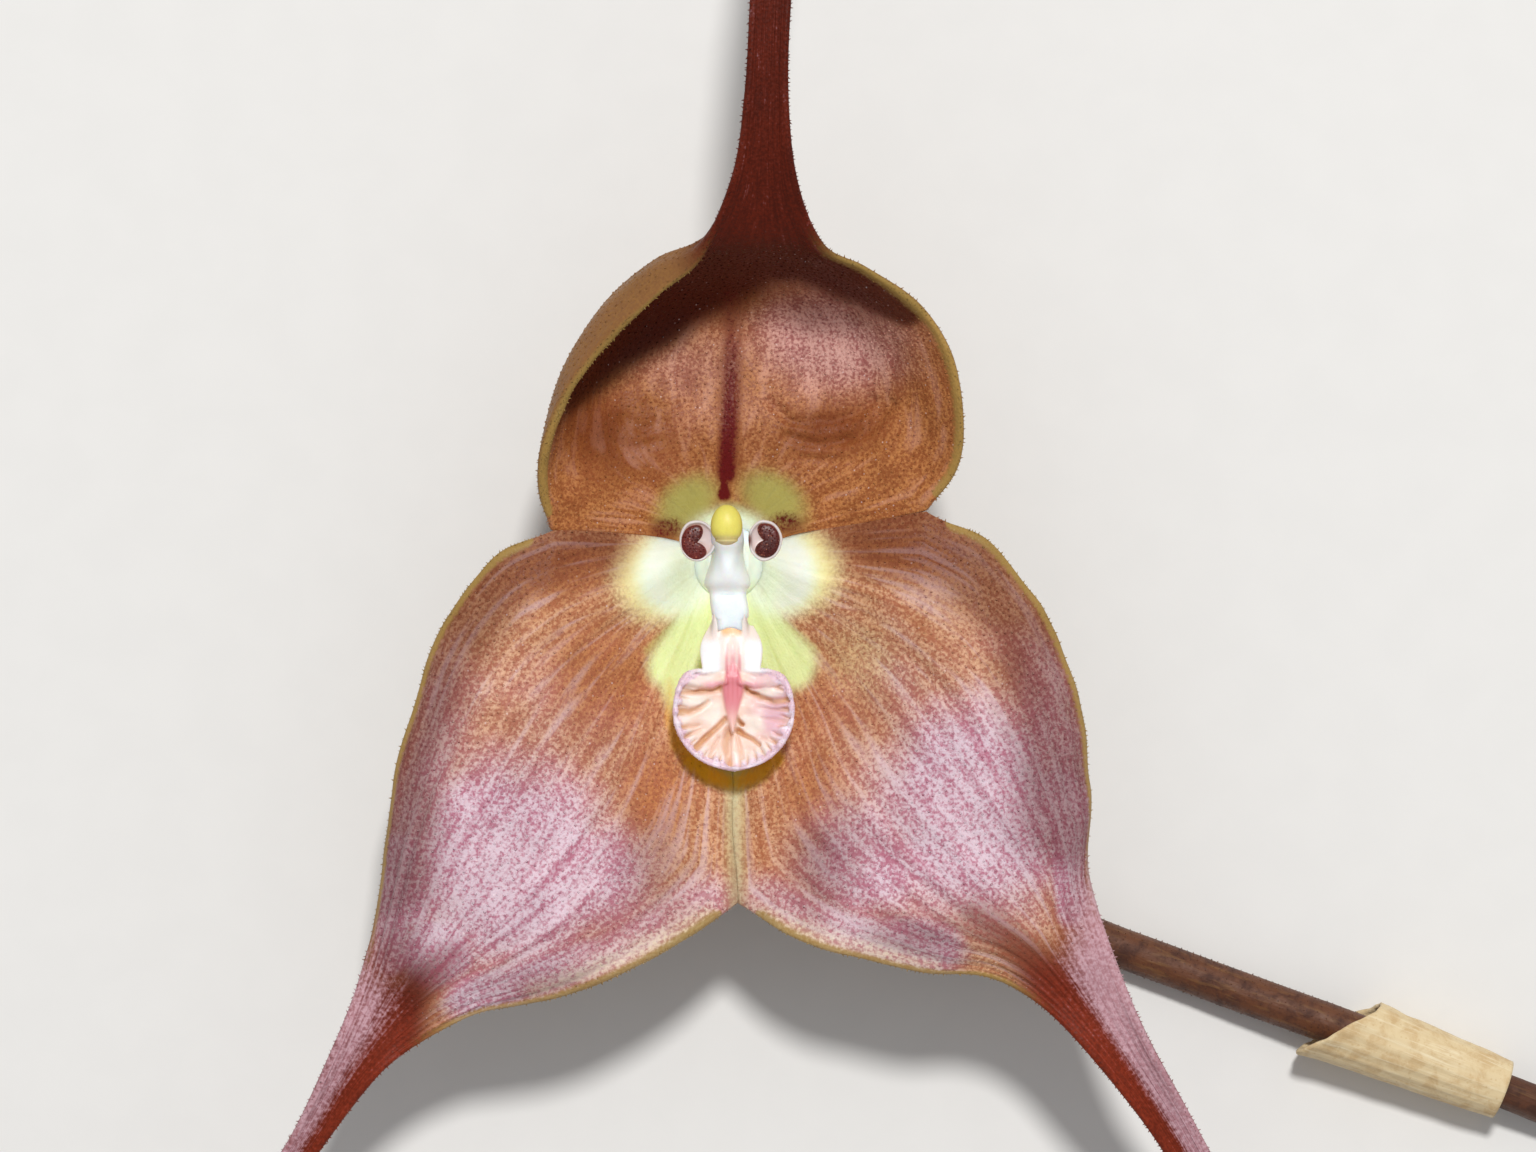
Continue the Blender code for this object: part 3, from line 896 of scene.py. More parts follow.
@dataclass(frozen=True)
class SepalFinish:
    """Matt, finely grained tissue: a pale ground under mauve or brown speckle, with streaks along the veins.

    Its colours come first: the ground and the speckle where it is warm and where it is lilac, the zones, some
    of them painted shade and shadow, the painted pale glints, the outer face and the tail's two halves,
    partly painted light and shade.

    Attributes:
        speck_pitch: the speckle's size, in millimetres.
        sparkle_share: the pale glints' size, as a share of the speckle's.
        vein_strength: how strongly the streaks show.
        streak_cell: a streak's share of the way across, and its length in millimetres.
        speck_strength: how strongly the speckle covers the ground.
        deep_strength: how strongly the deep colour covers it.
        margin_strength: how strongly the margin is coloured.
        margin_width: the width of the coloured margin, in millimetres.
        grain_pitch: the size of its fine bumps, in millimetres.
        grain_height: their height, in millimetres.
        thread_height: the height of its fine lengthwise ridges, in millimetres.
        roughness: how dull it is.
    """

    name: str
    ground_warm: Tint = tint(216, 166, 126)
    ground_lilac: Tint = tint(217, 193, 202)
    speck_warm: Tint = tint(162, 94, 62)
    speck_lilac: Tint = tint(172, 93, 116)
    deep: Tint = tint(188, 114, 54)
    # The filter of the painted shade zone, which darkens the colour where shade falls
    dusk: Tint = tint(186, 170, 166)
    sparkle: Tint = tint(246, 228, 226)
    # Dark red: the laterals' own where they run into their tails; on the hood it is painted shadow under the
    # rim, over an inside that is partly dark red
    red: Tint = tint(112, 42, 28)
    white: Tint = tint(243, 254, 230)
    yellow: Tint = tint(246, 234, 174)
    channel: Tint = tint(226, 236, 176)
    olive: Tint = tint(180, 170, 96)
    olive_vein: Tint = tint(136, 132, 84)
    ochre: Tint = tint(224, 166, 22)
    stripe: Tint = tint(100, 18, 18)
    margin: Tint = tint(160, 132, 70)
    outside: Tint = tint(146, 110, 64)
    outside_speck: Tint = tint(124, 82, 50)
    # The tail's red and pale halves: partly the tail's own colours, partly painted shade on the half away
    # from the key light and painted light on the half towards it
    tail: Tint = tint(116, 40, 20)
    tail_pale: Tint = tint(200, 162, 170)
    tail_speck: Tint = tint(150, 84, 92)
    speck_pitch: float = 0.17
    sparkle_share: float = 0.9
    vein_strength: float = 0.37
    streak_cell: Spot = (0.62, 6.0)
    speck_strength: float = 0.85
    deep_strength: float = 0.72
    margin_strength: float = 0.8
    margin_width: float = 0.26
    grain_pitch: float = 0.13
    grain_height: float = 0.03
    thread_height: float = 0.04
    roughness: float = 0.52

    def material(self) -> Material:
        """Build the material, which reads the attributes of a sepal's skin."""
        w = SepalWiring(self.name, self.speck_pitch, self.streak_cell, self.vein_strength)
        colour, clear = self._patches(w, self._speckle(w))
        tail = w.ramp(w.plus(w.mark("tail"), w.times(w.ragged, 0.35)), 0.05, 0.95)
        colour = w.mix(tail, colour, self._tail(w))
        outside = w.mix(w.times(w.speck, 0.6), self.outside, self.outside_speck)
        outside = w.mix(tail, outside, self.tail)
        colour = w.mix(w.ramp(w.mark("upper"), 0.1, 0.6), outside, colour)
        colour = w.shade(colour, w.ramp(w.cloud, 0.25, 0.75, 0.92, 1.05))
        grain = w.times(w.cells(w.at, 1 / self.grain_pitch).outputs["Distance"], -self.grain_height)
        normal = w.bump(w.plus(grain, w.times(w.thread, self.thread_height)), 0.6)
        roughness = w.ramp(w.fine, *NOISE_SPAN, self.roughness - 0.12, self.roughness + 0.1)
        w.feed(w.shader.inputs["Subsurface Weight"], w.ramp(clear, 0.2, 0.9, 0.1, 0.85))
        return w.finish(colour, roughness, normal, Specular_IOR_Level=0.14, Sheen_Weight=0.03,
                        Sheen_Roughness=0.4, Subsurface_Scale=0.0011, Subsurface_Radius=(1.0, 0.85, 0.7))

    def _speckle(self, w: SepalWiring) -> Socket:
        """The colour of the plain blade: its ground, its speckle and its streaks."""
        ground = w.mix(w.lilac, self.ground_warm, self.ground_lilac)
        ground = w.mix(w.times(w.deep, self.deep_strength), ground, self.deep)
        ground = w.mix(w.hollow, ground, w.mix(w.lilac, self.deep, self.speck_lilac))
        speck_colour = w.mix(w.lilac, self.speck_warm, self.speck_lilac)
        speck_colour = w.mix(w.times(w.deep, 0.4), speck_colour, self.speck_warm)
        colour = w.mix(w.times(w.speck, self.speck_strength), ground, speck_colour)
        return w.mix(w.times(w.ramp(w.streak, 0.52, 0.72), self.vein_strength), colour, self.ground_lilac)

    def _patches(self, w: SepalWiring, colour: Socket) -> tuple[Socket, Socket]:
        """Paint the zones, among them painted shade and painted shadow, the pale glints and the margin over
        the blade.

        Args:
            w: the wiring.
            colour: the plain blade's colour.

        Returns:
            The painted colour, and how clear of speckle the tissue is.
        """
        # Dark red zone: the laterals' own red at the tail bases, and painted shadow under the hood's rim
        colour = w.mix(w.zone(Zone.RED), colour, self.red)
        yellow, olive, channel, white = (
            w.zone(kind) for kind in (Zone.YELLOW, Zone.OLIVE, Zone.CHANNEL, Zone.WHITE))
        veined_olive = w.mix(w.times(w.hollow, 0.9), self.olive, self.olive_vein)
        for share, patch in ((yellow, self.yellow), (olive, veined_olive), (channel, self.channel),
                             (white, self.white)):
            colour = w.mix(share, colour, patch)
        clear = w.math("MAXIMUM", w.math("MAXIMUM", yellow, olive), w.math("MAXIMUM", channel, white))
        cells = w.cells(w.at, self.sparkle_share / self.speck_pitch)
        chosen = w.ramp(cells.outputs["Color"], 0.8, 0.9)
        glint = w.times(chosen, w.ramp(cells.outputs["Distance"], 0.32, 0.1))
        colour = w.mix(w.times(glint, w.ramp(clear, 0.0, 0.3, 0.45, 0.0)), colour, self.sparkle)
        colour = w.mix(w.zone(Zone.OCHRE), colour, self.ochre)
        # Painted shade: the colour darkened where shade falls, in creases, near the column and along the
        # outer margins
        colour = w.mix(w.zone(Zone.DUSK), colour, w.filtered(colour, self.dusk))
        colour = w.mix(w.zone(Zone.STRIPE), colour, self.stripe)
        band = w.plus(w.mark("margin"), w.times(w.ragged, 0.4))
        margin = w.ramp(band, self.margin_width * 1.4, self.margin_width * 0.3)
        return w.mix(w.times(margin, self.margin_strength), colour, self.margin), clear

    def _tail(self, w: SepalWiring) -> Socket:
        """The tail's colour, red on one half and pale on the other: partly the tail's own colours, partly
        painted light on the pale half and painted shade on the red one.
        """
        edge = w.plus(w.plus(w.mark("tail_pale"), w.centred(w.streak, 1.0)), w.times(w.ragged, 0.8))
        pale = w.mix(w.times(w.speck, 0.5), self.tail_pale, self.tail_speck)
        level = w.plus(w.fine, w.centred(w.streak, 0.8))
        red = w.shade(self.tail, w.ramp(level, *NOISE_SPAN, 0.8, 1.3))
        return w.mix(w.times(w.ramp(edge, 0.15, 0.85), 0.92), red, pale)


@dataclass(frozen=True)
class WaxyFinish:
    """Waxy pale tissue, slightly see-through, with a second colour where an attribute says so.

    Attributes:
        name: the material's name.
        ground: the main colour.
        marked: a second colour for each attribute's name, in painting order.
        mottle: how much lighter and darker the ground gets.
        grain: the size of its fine bumps, in millimetres.
        relief: their height.
        roughness: how dull it is.
        depth: how far light goes in, in metres.
        ragged: how ragged the second colours' edges are.
        glow: how much of the light goes in.
        flecks: how strongly its pale flecks show: painted glints, partly lighter speckle of the tissue's own.
        fleck: their colour.
    """

    name: str
    ground: Tint
    marked: tuple[tuple[str, Tint], ...] = ()
    mottle: float = 0.06
    grain: float = 0.12
    relief: float = 0.006
    roughness: float = 0.34
    depth: float = 0.0006
    ragged: float = 0.15
    glow: float = 0.35
    flecks: float = 0.0
    fleck: Tint = tint(216, 168, 156)

    def material(self) -> Material:
        """Build the material."""
        w = Wiring(self.name)
        place = w.place()
        fine = w.noise(place, 1 / self.grain, 3.0, 0.6)
        broad = w.noise(place, 0.9, 3.0)
        colour: Input = self.ground
        for mark, second in self.marked:
            edge = w.times(w.minus(fine, 0.5), self.ragged)
            colour = w.mix(w.ramp(w.plus(w.mark(mark), edge), 0.02, 0.98), colour, second)
        cloud = w.plus(w.times(broad, 0.7), w.times(fine, 0.3))
        colour = w.shade(colour, w.ramp(cloud, *NOISE_SPAN, 1 - self.mottle, 1 + self.mottle * 0.5))
        if self.flecks > 0:
            dots = w.cells(place, 1 / self.grain)
            chosen = w.ramp(dots.outputs["Color"], 0.45, 0.8)
            spots = w.times(chosen, w.ramp(dots.outputs["Distance"], 0.4, 0.15))
            colour = w.mix(w.times(spots, self.flecks), colour, self.fleck)
        normal = w.bump(w.times(fine, self.relief), 0.7)
        roughness = w.ramp(fine, *NOISE_SPAN, self.roughness - 0.06, self.roughness + 0.08)
        return w.finish(colour, roughness, normal, Subsurface_Weight=self.glow, Subsurface_Scale=self.depth,
                        Subsurface_Radius=(1.0, 0.7, 0.5), Specular_IOR_Level=0.35, Coat_Weight=0.04,
                        Coat_Roughness=0.3)


@dataclass(frozen=True)
class StalkFinish:
    """Dull stalk skin: a ground colour with dark mottles stretched along it and fine ridges.

    Attributes:
        name: the material's name.
        ground: the main colour.
        mottles: the colour of the mottles.
        worn: the colour of the ridges and of the paler patches.
        cut: the colour where the attribute `cut` is 1.
        streak: a mottle's share of the way round, and its length in millimetres.
        relief: the height of its bumps, in millimetres.
        roughness: how dull it is.
        sheen: how strongly its edges catch the light.
    """

    name: str
    ground: Tint
    mottles: Tint
    worn: Tint
    cut: Tint = tint(196, 190, 138)
    streak: Spot = (0.05, 1.6)
    relief: float = 0.05
    roughness: float = 0.6
    sheen: float = 0.1

    def material(self) -> Material:
        """Build the material."""
        w = Wiring(self.name)
        place = w.place()
        mottle = w.noise(place, 1.3, 4.0, 0.65, 0.4)
        fibre = w.noise(w.pattern_place(self.streak), 1.0, 3.0, 0.6)
        pits = w.cells(place, 3.2).outputs["Distance"]
        colour = w.mix(w.ramp(mottle, 0.4, 0.7), self.ground, self.mottles)
        colour = w.mix(w.times(w.ramp(fibre, 0.5, 0.72), 0.6), colour, self.worn)
        colour = w.mix(w.times(w.ramp(pits, 0.22, 0.1), 0.6), colour, self.mottles)
        colour = w.mix(w.ramp(w.mark("cut"), 0.3, 0.7), colour, self.cut)
        height = w.plus(w.times(fibre, self.relief), w.times(mottle, self.relief))
        roughness = w.ramp(mottle, *NOISE_SPAN, self.roughness - 0.08, self.roughness + 0.1)
        return w.finish(colour, roughness, w.bump(height, 0.8), Specular_IOR_Level=0.35,
                        Sheen_Weight=self.sheen)


@dataclass(frozen=True)
class FloorFinish:
    """Plain pale matt board."""

    name: str = "pale_board"
    ground: Tint = tint(226, 224, 220)

    def material(self) -> Material:
        """Build the material."""
        w = Wiring(self.name)
        fleck = w.noise(w.place(), 0.4, 4.0)
        colour = w.shade(self.ground, w.ramp(fleck, *NOISE_SPAN, 0.985, 1.0))
        return w.finish(colour, 0.85, Specular_IOR_Level=0.2)


# ---------------------------------------------------------------- sepals

# The margins that two sepals share, out from the ring round the column's foot to the notch between them
LEFT_SEAM = [(-1.3, 0.6, 6.0), (-3.0, 1.0, 7.0), (-5.2, 1.2, 8.3), (-7.7, 1.3, 9.5)]
RIGHT_SEAM = [(1.3, 0.6, 6.0), (3.2, 1.2, 7.0), (5.9, 1.6, 8.3), (8.7, 2.2, 9.5)]
LOWER_SEAM = [(0.0, -1.6, 6.0), (0.1, -5.8, 6.0), (0.2, -10.7, 7.0), (0.4, -15.2, 8.2)]
NOTCH = len(LOWER_SEAM) - 1

# A sepal's guide curves, each named by its place across: -1 and 1 are the margins, 0 is the middle vein.
# Every guide of a sepal has a point at each station.
LEFT_GUIDES = {
    -1.0: [*LEFT_SEAM, (-10.5, 0.0, 9.7), (-12.9, -3.5, 9.3), (-14.6, -8.4, 9.0), (-15.2, -13.2, 8.9),
           (-16.0, -17.2, 8.8)],
    -0.5: [(-1.4, 0.2, 6.0), (-2.9, -0.4, 8.0), (-5.1, -1.3, 9.0), (-7.6, -2.6, 10.3), (-9.7, -4.7, 10.9),
           (-11.6, -8.0, 11.0), (-13.1, -11.5, 10.8), (-14.2, -15.0, 10.4), (-15.3, -18.3, 9.6)],
    0.0: [(-1.3, -0.8, 6.0), (-2.5, -2.3, 6.9), (-4.4, -4.8, 8.0), (-6.2, -7.5, 9.4), (-7.9, -10.3, 10.4),
          (-9.7, -12.9, 10.9), (-11.4, -15.1, 10.8), (-13.0, -17.4, 10.3), (-14.6, -19.4, 9.7)],
    0.5: [(-0.8, -1.3, 6.0), (-1.4, -4.2, 6.2), (-2.1, -7.8, 7.2), (-3.2, -11.4, 8.7), (-5.0, -13.9, 9.9),
          (-7.2, -16.0, 10.5), (-9.6, -17.6, 10.5), (-12.0, -19.0, 10.1), (-14.0, -20.4, 9.5)],
    1.0: [*LOWER_SEAM, (-1.7, -16.6, 9.3), (-4.5, -18.1, 9.8), (-7.8, -19.4, 9.7), (-10.9, -20.1, 9.4),
          (-13.4, -21.3, 9.1)],
}
RIGHT_GUIDES = {
    -1.0: [*LOWER_SEAM, (2.7, -16.6, 9.3), (5.4, -17.5, 9.8), (8.7, -18.2, 9.7), (11.3, -18.4, 9.4),
           (13.4, -19.4, 9.1)],
    -0.5: [(0.7, -1.3, 6.0), (1.6, -4.2, 6.2), (2.6, -7.5, 7.2), (3.8, -10.8, 8.7), (5.8, -13.2, 9.9),
           (8.0, -14.9, 10.5), (10.3, -16.3, 10.5), (12.3, -17.2, 10.1), (14.0, -18.5, 9.5)],
    0.0: [(1.3, -0.8, 6.0), (2.6, -2.4, 6.9), (4.7, -4.3, 8.0), (6.7, -6.5, 9.4), (8.7, -9.0, 10.4),
          (10.5, -11.4, 10.9), (12.2, -13.5, 10.8), (13.6, -15.4, 10.3), (14.7, -17.4, 9.7)],
    0.5: [(1.4, 0.2, 6.0), (3.2, -0.5, 8.0), (5.6, -1.1, 9.0), (8.1, -2.0, 10.3), (10.4, -3.8, 10.9),
          (12.3, -6.4, 11.0), (13.7, -9.6, 10.8), (14.7, -12.7, 10.4), (15.4, -15.8, 9.6)],
    1.0: [*RIGHT_SEAM, (11.5, 0.8, 9.7), (13.8, -1.9, 9.3), (15.3, -5.3, 9.0), (16.1, -9.7, 8.9),
          (16.0, -13.9, 8.8)],
}
DORSAL_GUIDES = {
    -1.0: [*RIGHT_SEAM, (10.0, 4.0, 10.3), (10.2, 6.2, 11.2), (9.7, 8.9, 12.1), (8.3, 11.0, 12.9),
           (6.1, 12.5, 13.6), (4.2, 13.5, 14.2)],
    -0.8: [(1.1, 0.9, 6.0), (2.8, 1.6, 6.9), (5.1, 2.4, 8.0), (7.4, 3.4, 8.9), (8.5, 4.7, 9.4),
           (8.7, 6.6, 9.9), (8.2, 8.9, 10.6), (7.1, 10.8, 11.4), (5.2, 12.3, 12.6), (3.7, 13.5, 14.0)],
    -0.5: [(0.8, 1.2, 6.0), (1.8, 2.2, 6.6), (3.2, 3.4, 7.3), (4.7, 4.7, 7.9), (5.7, 6.2, 8.0),
           (5.9, 8.0, 7.9), (5.6, 9.9, 8.2), (4.8, 11.5, 9.4), (3.7, 12.6, 11.8), (3.0, 13.8, 13.9)],
    0.0: [(0.0, 1.4, 6.0), (0.0, 2.7, 6.6), (0.0, 4.2, 7.2), (0.1, 5.8, 7.6), (0.2, 7.3, 7.5),
          (0.3, 8.9, 7.2), (0.5, 10.4, 7.4), (0.8, 11.7, 8.9), (1.2, 12.8, 11.6), (1.5, 13.9, 13.8)],
    0.5: [(-0.8, 1.2, 6.0), (-1.7, 2.1, 6.6), (-3.0, 3.2, 7.3), (-4.3, 4.4, 7.9), (-4.9, 6.0, 8.0),
          (-5.1, 7.8, 7.9), (-4.5, 9.7, 8.2), (-3.2, 11.4, 9.4), (-1.6, 12.6, 11.8), (-0.1, 13.8, 13.9)],
    0.8: [(-1.1, 0.9, 6.0), (-2.6, 1.6, 6.9), (-4.6, 2.2, 8.0), (-6.5, 2.6, 8.9), (-7.4, 3.6, 9.4),
          (-7.4, 5.7, 9.9), (-6.7, 8.3, 10.6), (-5.2, 10.6, 11.4), (-3.2, 12.3, 12.6), (-0.9, 13.4, 14.0)],
    1.0: [*LEFT_SEAM, (-8.1, 3.1, 10.3), (-7.9, 5.0, 11.2), (-6.8, 7.4, 12.1), (-4.9, 9.7, 12.9),
          (-2.8, 11.4, 13.6), (-1.0, 13.1, 14.2)],
}
# A tail's stations, past its blade's last one: x, y and z of its middle, and its half width.
# Each tail comes down to the surface, where its last millimetres lie.
LEFT_TAIL = [(-16.5, -22.2, 9.2, 1.1), (-18.9, -26.1, 8.3, 0.64), (-21.9, -30.4, 7.0, 0.64),
             (-25.2, -34.9, 5.3, 0.65), (-28.8, -39.4, 3.5, 0.6), (-32.7, -43.8, 1.9, 0.55),
             (-36.6, -47.9, 1.1, 0.48), (-40.2, -51.5, 0.9, 0.35)]
RIGHT_TAIL = [(17.0, -21.0, 9.2, 1.3), (19.8, -25.3, 8.3, 0.87), (22.4, -30.0, 7.0, 0.78),
              (24.8, -35.0, 5.3, 0.72), (27.2, -40.1, 3.5, 0.65), (29.9, -45.0, 1.9, 0.58),
              (33.1, -49.3, 1.1, 0.5), (36.9, -52.5, 0.9, 0.35)]
DORSAL_TAIL = [(1.6, 16.4, 15.1, 1.35), (1.7, 20.2, 16.0, 0.88), (1.9, 24.6, 16.3, 0.82),
               (2.3, 29.5, 15.6, 0.8), (2.9, 34.4, 13.4, 0.76), (3.8, 38.9, 10.0, 0.72),
               (5.0, 42.8, 6.3, 0.66), (6.5, 46.4, 3.1, 0.6), (8.2, 50.0, 1.3, 0.5), (10.0, 53.2, 0.9, 0.35)]

# The patches that both lateral sepals show, round the lip and along the seam between them
LATERAL_ZONES: dict[Zone, tuple[Patch, ...]] = {
    Zone.OCHRE: (
        Band(((-2.6, -5.4), (-2.6, -7.0), (-2.3, -8.2), (-1.5, -9.1)), (0.4, 0.6), (0.3, 0.75), 0.2),
        Band(((-1.7, -8.9), (-0.8, -9.65), (0.2, -9.9), (1.2, -9.6), (2.1, -8.8)), (0.62, 0.6),
             (0.85, 0.7), 0.25)),
    Zone.PALE: (Band(((0.3, -10.6), (0.4, -14.8)), (0.5, 0.4), core=0.3),),
    # Painted shade along the seam below the lip
    Zone.DUSK: (Band(((0.2, -11.0), (0.4, -15.4)), (1.1, 1.1), (0.4, 0.6), 0.0),),
    Zone.WHITE: (Band(((0.25, -10.4), (0.35, -15.0)), (0.7, 0.5), (0.15, 0.2), 0.0),),
    # Olive under the lip: partly the tissue's own yellow, partly painted shadow of the lip
    Zone.OLIVE: (Blot((0.2, -9.6), (1.9, 0.9), 0.9, 0.3),),
    Zone.CHANNEL: (Band(((0.25, -10.0), (0.35, -15.2)), (1.0, 0.9), (0.5, 0.35), 0.0),),
}
LEFT_ZONES: dict[Zone, tuple[Patch, ...]] = {
    Zone.LILAC: (
        Blot((-9.8, -13.4), (7.8, 8.0), 1.0, 0.25, 20.0), Blot((-6.4, -14.0), (5.2, 5.0), 0.85, 0.2),
        Blot((-7.6, -9.0), (7.0, 8.6), 0.32, 0.2), Blot((-12.8, -17.2), (2.8, 2.4), 0.95, 0.4),
        Band(((-10.2, -2.8), (-12.4, -6.6), (-14.2, -15.0)), (3.2, 3.6), (0.1, 0.9)),
        Band(((-1.2, -15.2), (-4.6, -17.0), (-8.4, -18.4), (-11.2, -19.2)), (2.4, 2.2), (0.6, 0.9), 0.2),
        Band(((-14.4, -13.0), (-14.8, -17.6)), (2.0, 1.2), (0.9, 0.9), 0.3)),
    Zone.PALE: (
        Blot((-9.6, -14.0), (4.6, 5.2), turn=25.0), Blot((-7.2, -11.4), (3.6, 3.4), 0.7),
        Blot((-5.6, -17.4), (4.2, 1.8), 0.6, 0.2, 20.0),
        # Painted highlight along the ridge of the left lobe
        Band(((-12.7, -7.6), (-11.3, -11.2), (-11.7, -14.4), (-12.6, -16.4)), (0.7, 0.9), (0.9, 1.5))),
    Zone.DEEP: (
        Blot((-5.4, -5.2), (4.6, 5.0), turn=35.0), Blot((-3.2, -10.2), (2.6, 3.6), 1.1, 0.1, 15.0),
        Blot((-7.0, -0.4), (5.4, 2.4), turn=12.0)),
    # Painted shade: near the column, where the petals and the column throw no shadow, on the lower lobe,
    # along the outer margin and at the tail's base
    Zone.DUSK: (
        Blot((-1.7, -0.8), (1.5, 2.6), 0.42), Blot((-3.4, -13.6), (3.4, 4.4), 0.6, 0.0),
        Blot((-8.0, -18.6), (4.0, 1.8), 0.6, 0.0, 12.0),
        Band(((-5.6, 0.8), (-9.5, -0.2), (-12.6, -3.6), (-14.6, -8.8), (-15.0, -14.0)), (3.0, 3.8),
             (0.9, 1.2), 0.0),
        Band(((-14.2, -14.0), (-14.6, -18.2), (-15.8, -21.2)), (2.2, 2.6), (0.4, 1.3))),
    Zone.RED: (Band(((-12.2, -17.4), (-13.5, -18.7), (-15.0, -20.6)), (1.5, 2.1), (0.4, 1.05)),),
    Zone.WHITE: (Blot((-2.3, -0.6), (2.5, 2.7), 1.0, 0.35), Blot((-1.2, 0.2), (1.4, 1.6), 1.0, 0.4)),
    Zone.YELLOW: (
        Blot((-2.9, -0.8), (3.1, 3.0), 0.9, 0.3),
        Band(((-1.0, -16.0), (-4.5, -17.6), (-8.5, -19.0)), (1.4, 1.0), (0.32, 0.25), 0.0)),
    # Olive band: painted shade in the crease between the white patch and the channel
    Zone.OLIVE: (Band(((-1.2, -1.5), (-2.3, -2.8), (-3.6, -4.0)), (0.45, 0.4), (0.7, 0.5)),),
    Zone.CHANNEL: (
        Blot((-0.3, -4.6), (1.7, 3.6), 1.0, 0.5),
        Band(((-0.95, -1.6), (-1.7, -3.2), (-2.4, -4.7)), (0.8, 1.7), core=0.35),
        Band(((-2.3, -4.8), (-2.0, -6.2), (-1.6, -7.4)), (1.6, 0.9), (1.0, 0.6), 0.3)),
}
RIGHT_ZONES: dict[Zone, tuple[Patch, ...]] = {
    Zone.LILAC: (
        Blot((10.8, -11.0), (7.4, 8.0), 1.0, 0.25, -15.0), Blot((6.2, -13.2), (5.2, 4.8), 0.85, 0.2),
        Blot((8.0, -8.0), (7.0, 8.6), 0.32, 0.2),
        Band(((11.0, -1.8), (13.6, -4.8), (15.0, -11.0)), (3.2, 3.6), (0.1, 0.9)),
        Band(((1.8, -15.2), (5.4, -16.4), (9.2, -17.0)), (2.2, 2.2), (0.6, 0.9), 0.2),
        Band(((14.6, -10.0), (15.2, -15.4)), (2.0, 1.2), (0.9, 0.9), 0.3)),
    Zone.PALE: (
        Blot((10.4, -11.4), (4.6, 5.6), turn=-10.0), Blot((7.8, -8.8), (3.4, 3.0), 0.8),
        Blot((6.4, -16.6), (4.4, 1.8), 0.7, 0.2, -12.0)),
    Zone.DEEP: (
        Blot((4.4, -6.2), (3.6, 4.6), 0.7, 0.1, -25.0), Blot((3.7, -10.0), (2.6, 3.6), 0.8, 0.1, -15.0),
        Blot((7.8, 0.4), (5.4, 2.4), turn=-12.0)),
    # Painted shade: near the column, where the petals and the column throw no shadow, on the lower lobe and
    # along the outer margin
    Zone.DUSK: (
        Blot((1.3, -0.8), (1.2, 2.6), 0.42), Blot((4.0, -13.4), (3.2, 4.4), 0.65, 0.0),
        Blot((8.6, -16.6), (4.0, 1.8), 0.7, 0.0, -12.0),
        Band(((6.2, 1.4), (10.2, 0.6), (13.4, -2.4), (15.0, -6.4), (15.2, -11.0)), (3.5, 4.4),
             (1.0, 1.4), 0.0)),
    Zone.RED: (Band(((10.9, -15.6), (12.8, -17.2), (15.0, -19.4)), (1.5, 1.9), (0.45, 0.95)),),
    Zone.WHITE: (Blot((2.2, -0.6), (2.4, 2.7), 1.0, 0.35), Blot((1.2, 0.2), (1.4, 1.6), 1.0, 0.4)),
    Zone.YELLOW: (
        Blot((2.9, -0.4), (3.0, 2.9), 0.9, 0.3), Blot((5.8, -4.4), (3.2, 3.0), 0.24),
        Band(((1.5, -16.0), (5.4, -17.1), (9.0, -17.8)), (1.4, 1.0), (0.32, 0.25), 0.0)),
    # Olive band: painted shade in the crease between the white patch and the channel
    Zone.OLIVE: (Band(((1.2, -1.6), (2.4, -2.8), (3.8, -4.0)), (0.45, 0.4), (0.7, 0.5)),),
    Zone.CHANNEL: (
        Blot((0.7, -4.6), (1.7, 3.6), 1.0, 0.5),
        Band(((0.95, -1.6), (1.8, -3.2), (2.7, -4.6)), (0.8, 1.7), core=0.35),
        Band(((2.4, -4.7), (1.9, -6.0), (1.5, -7.0)), (1.5, 0.7), (1.0, 0.5), 0.3)),
}
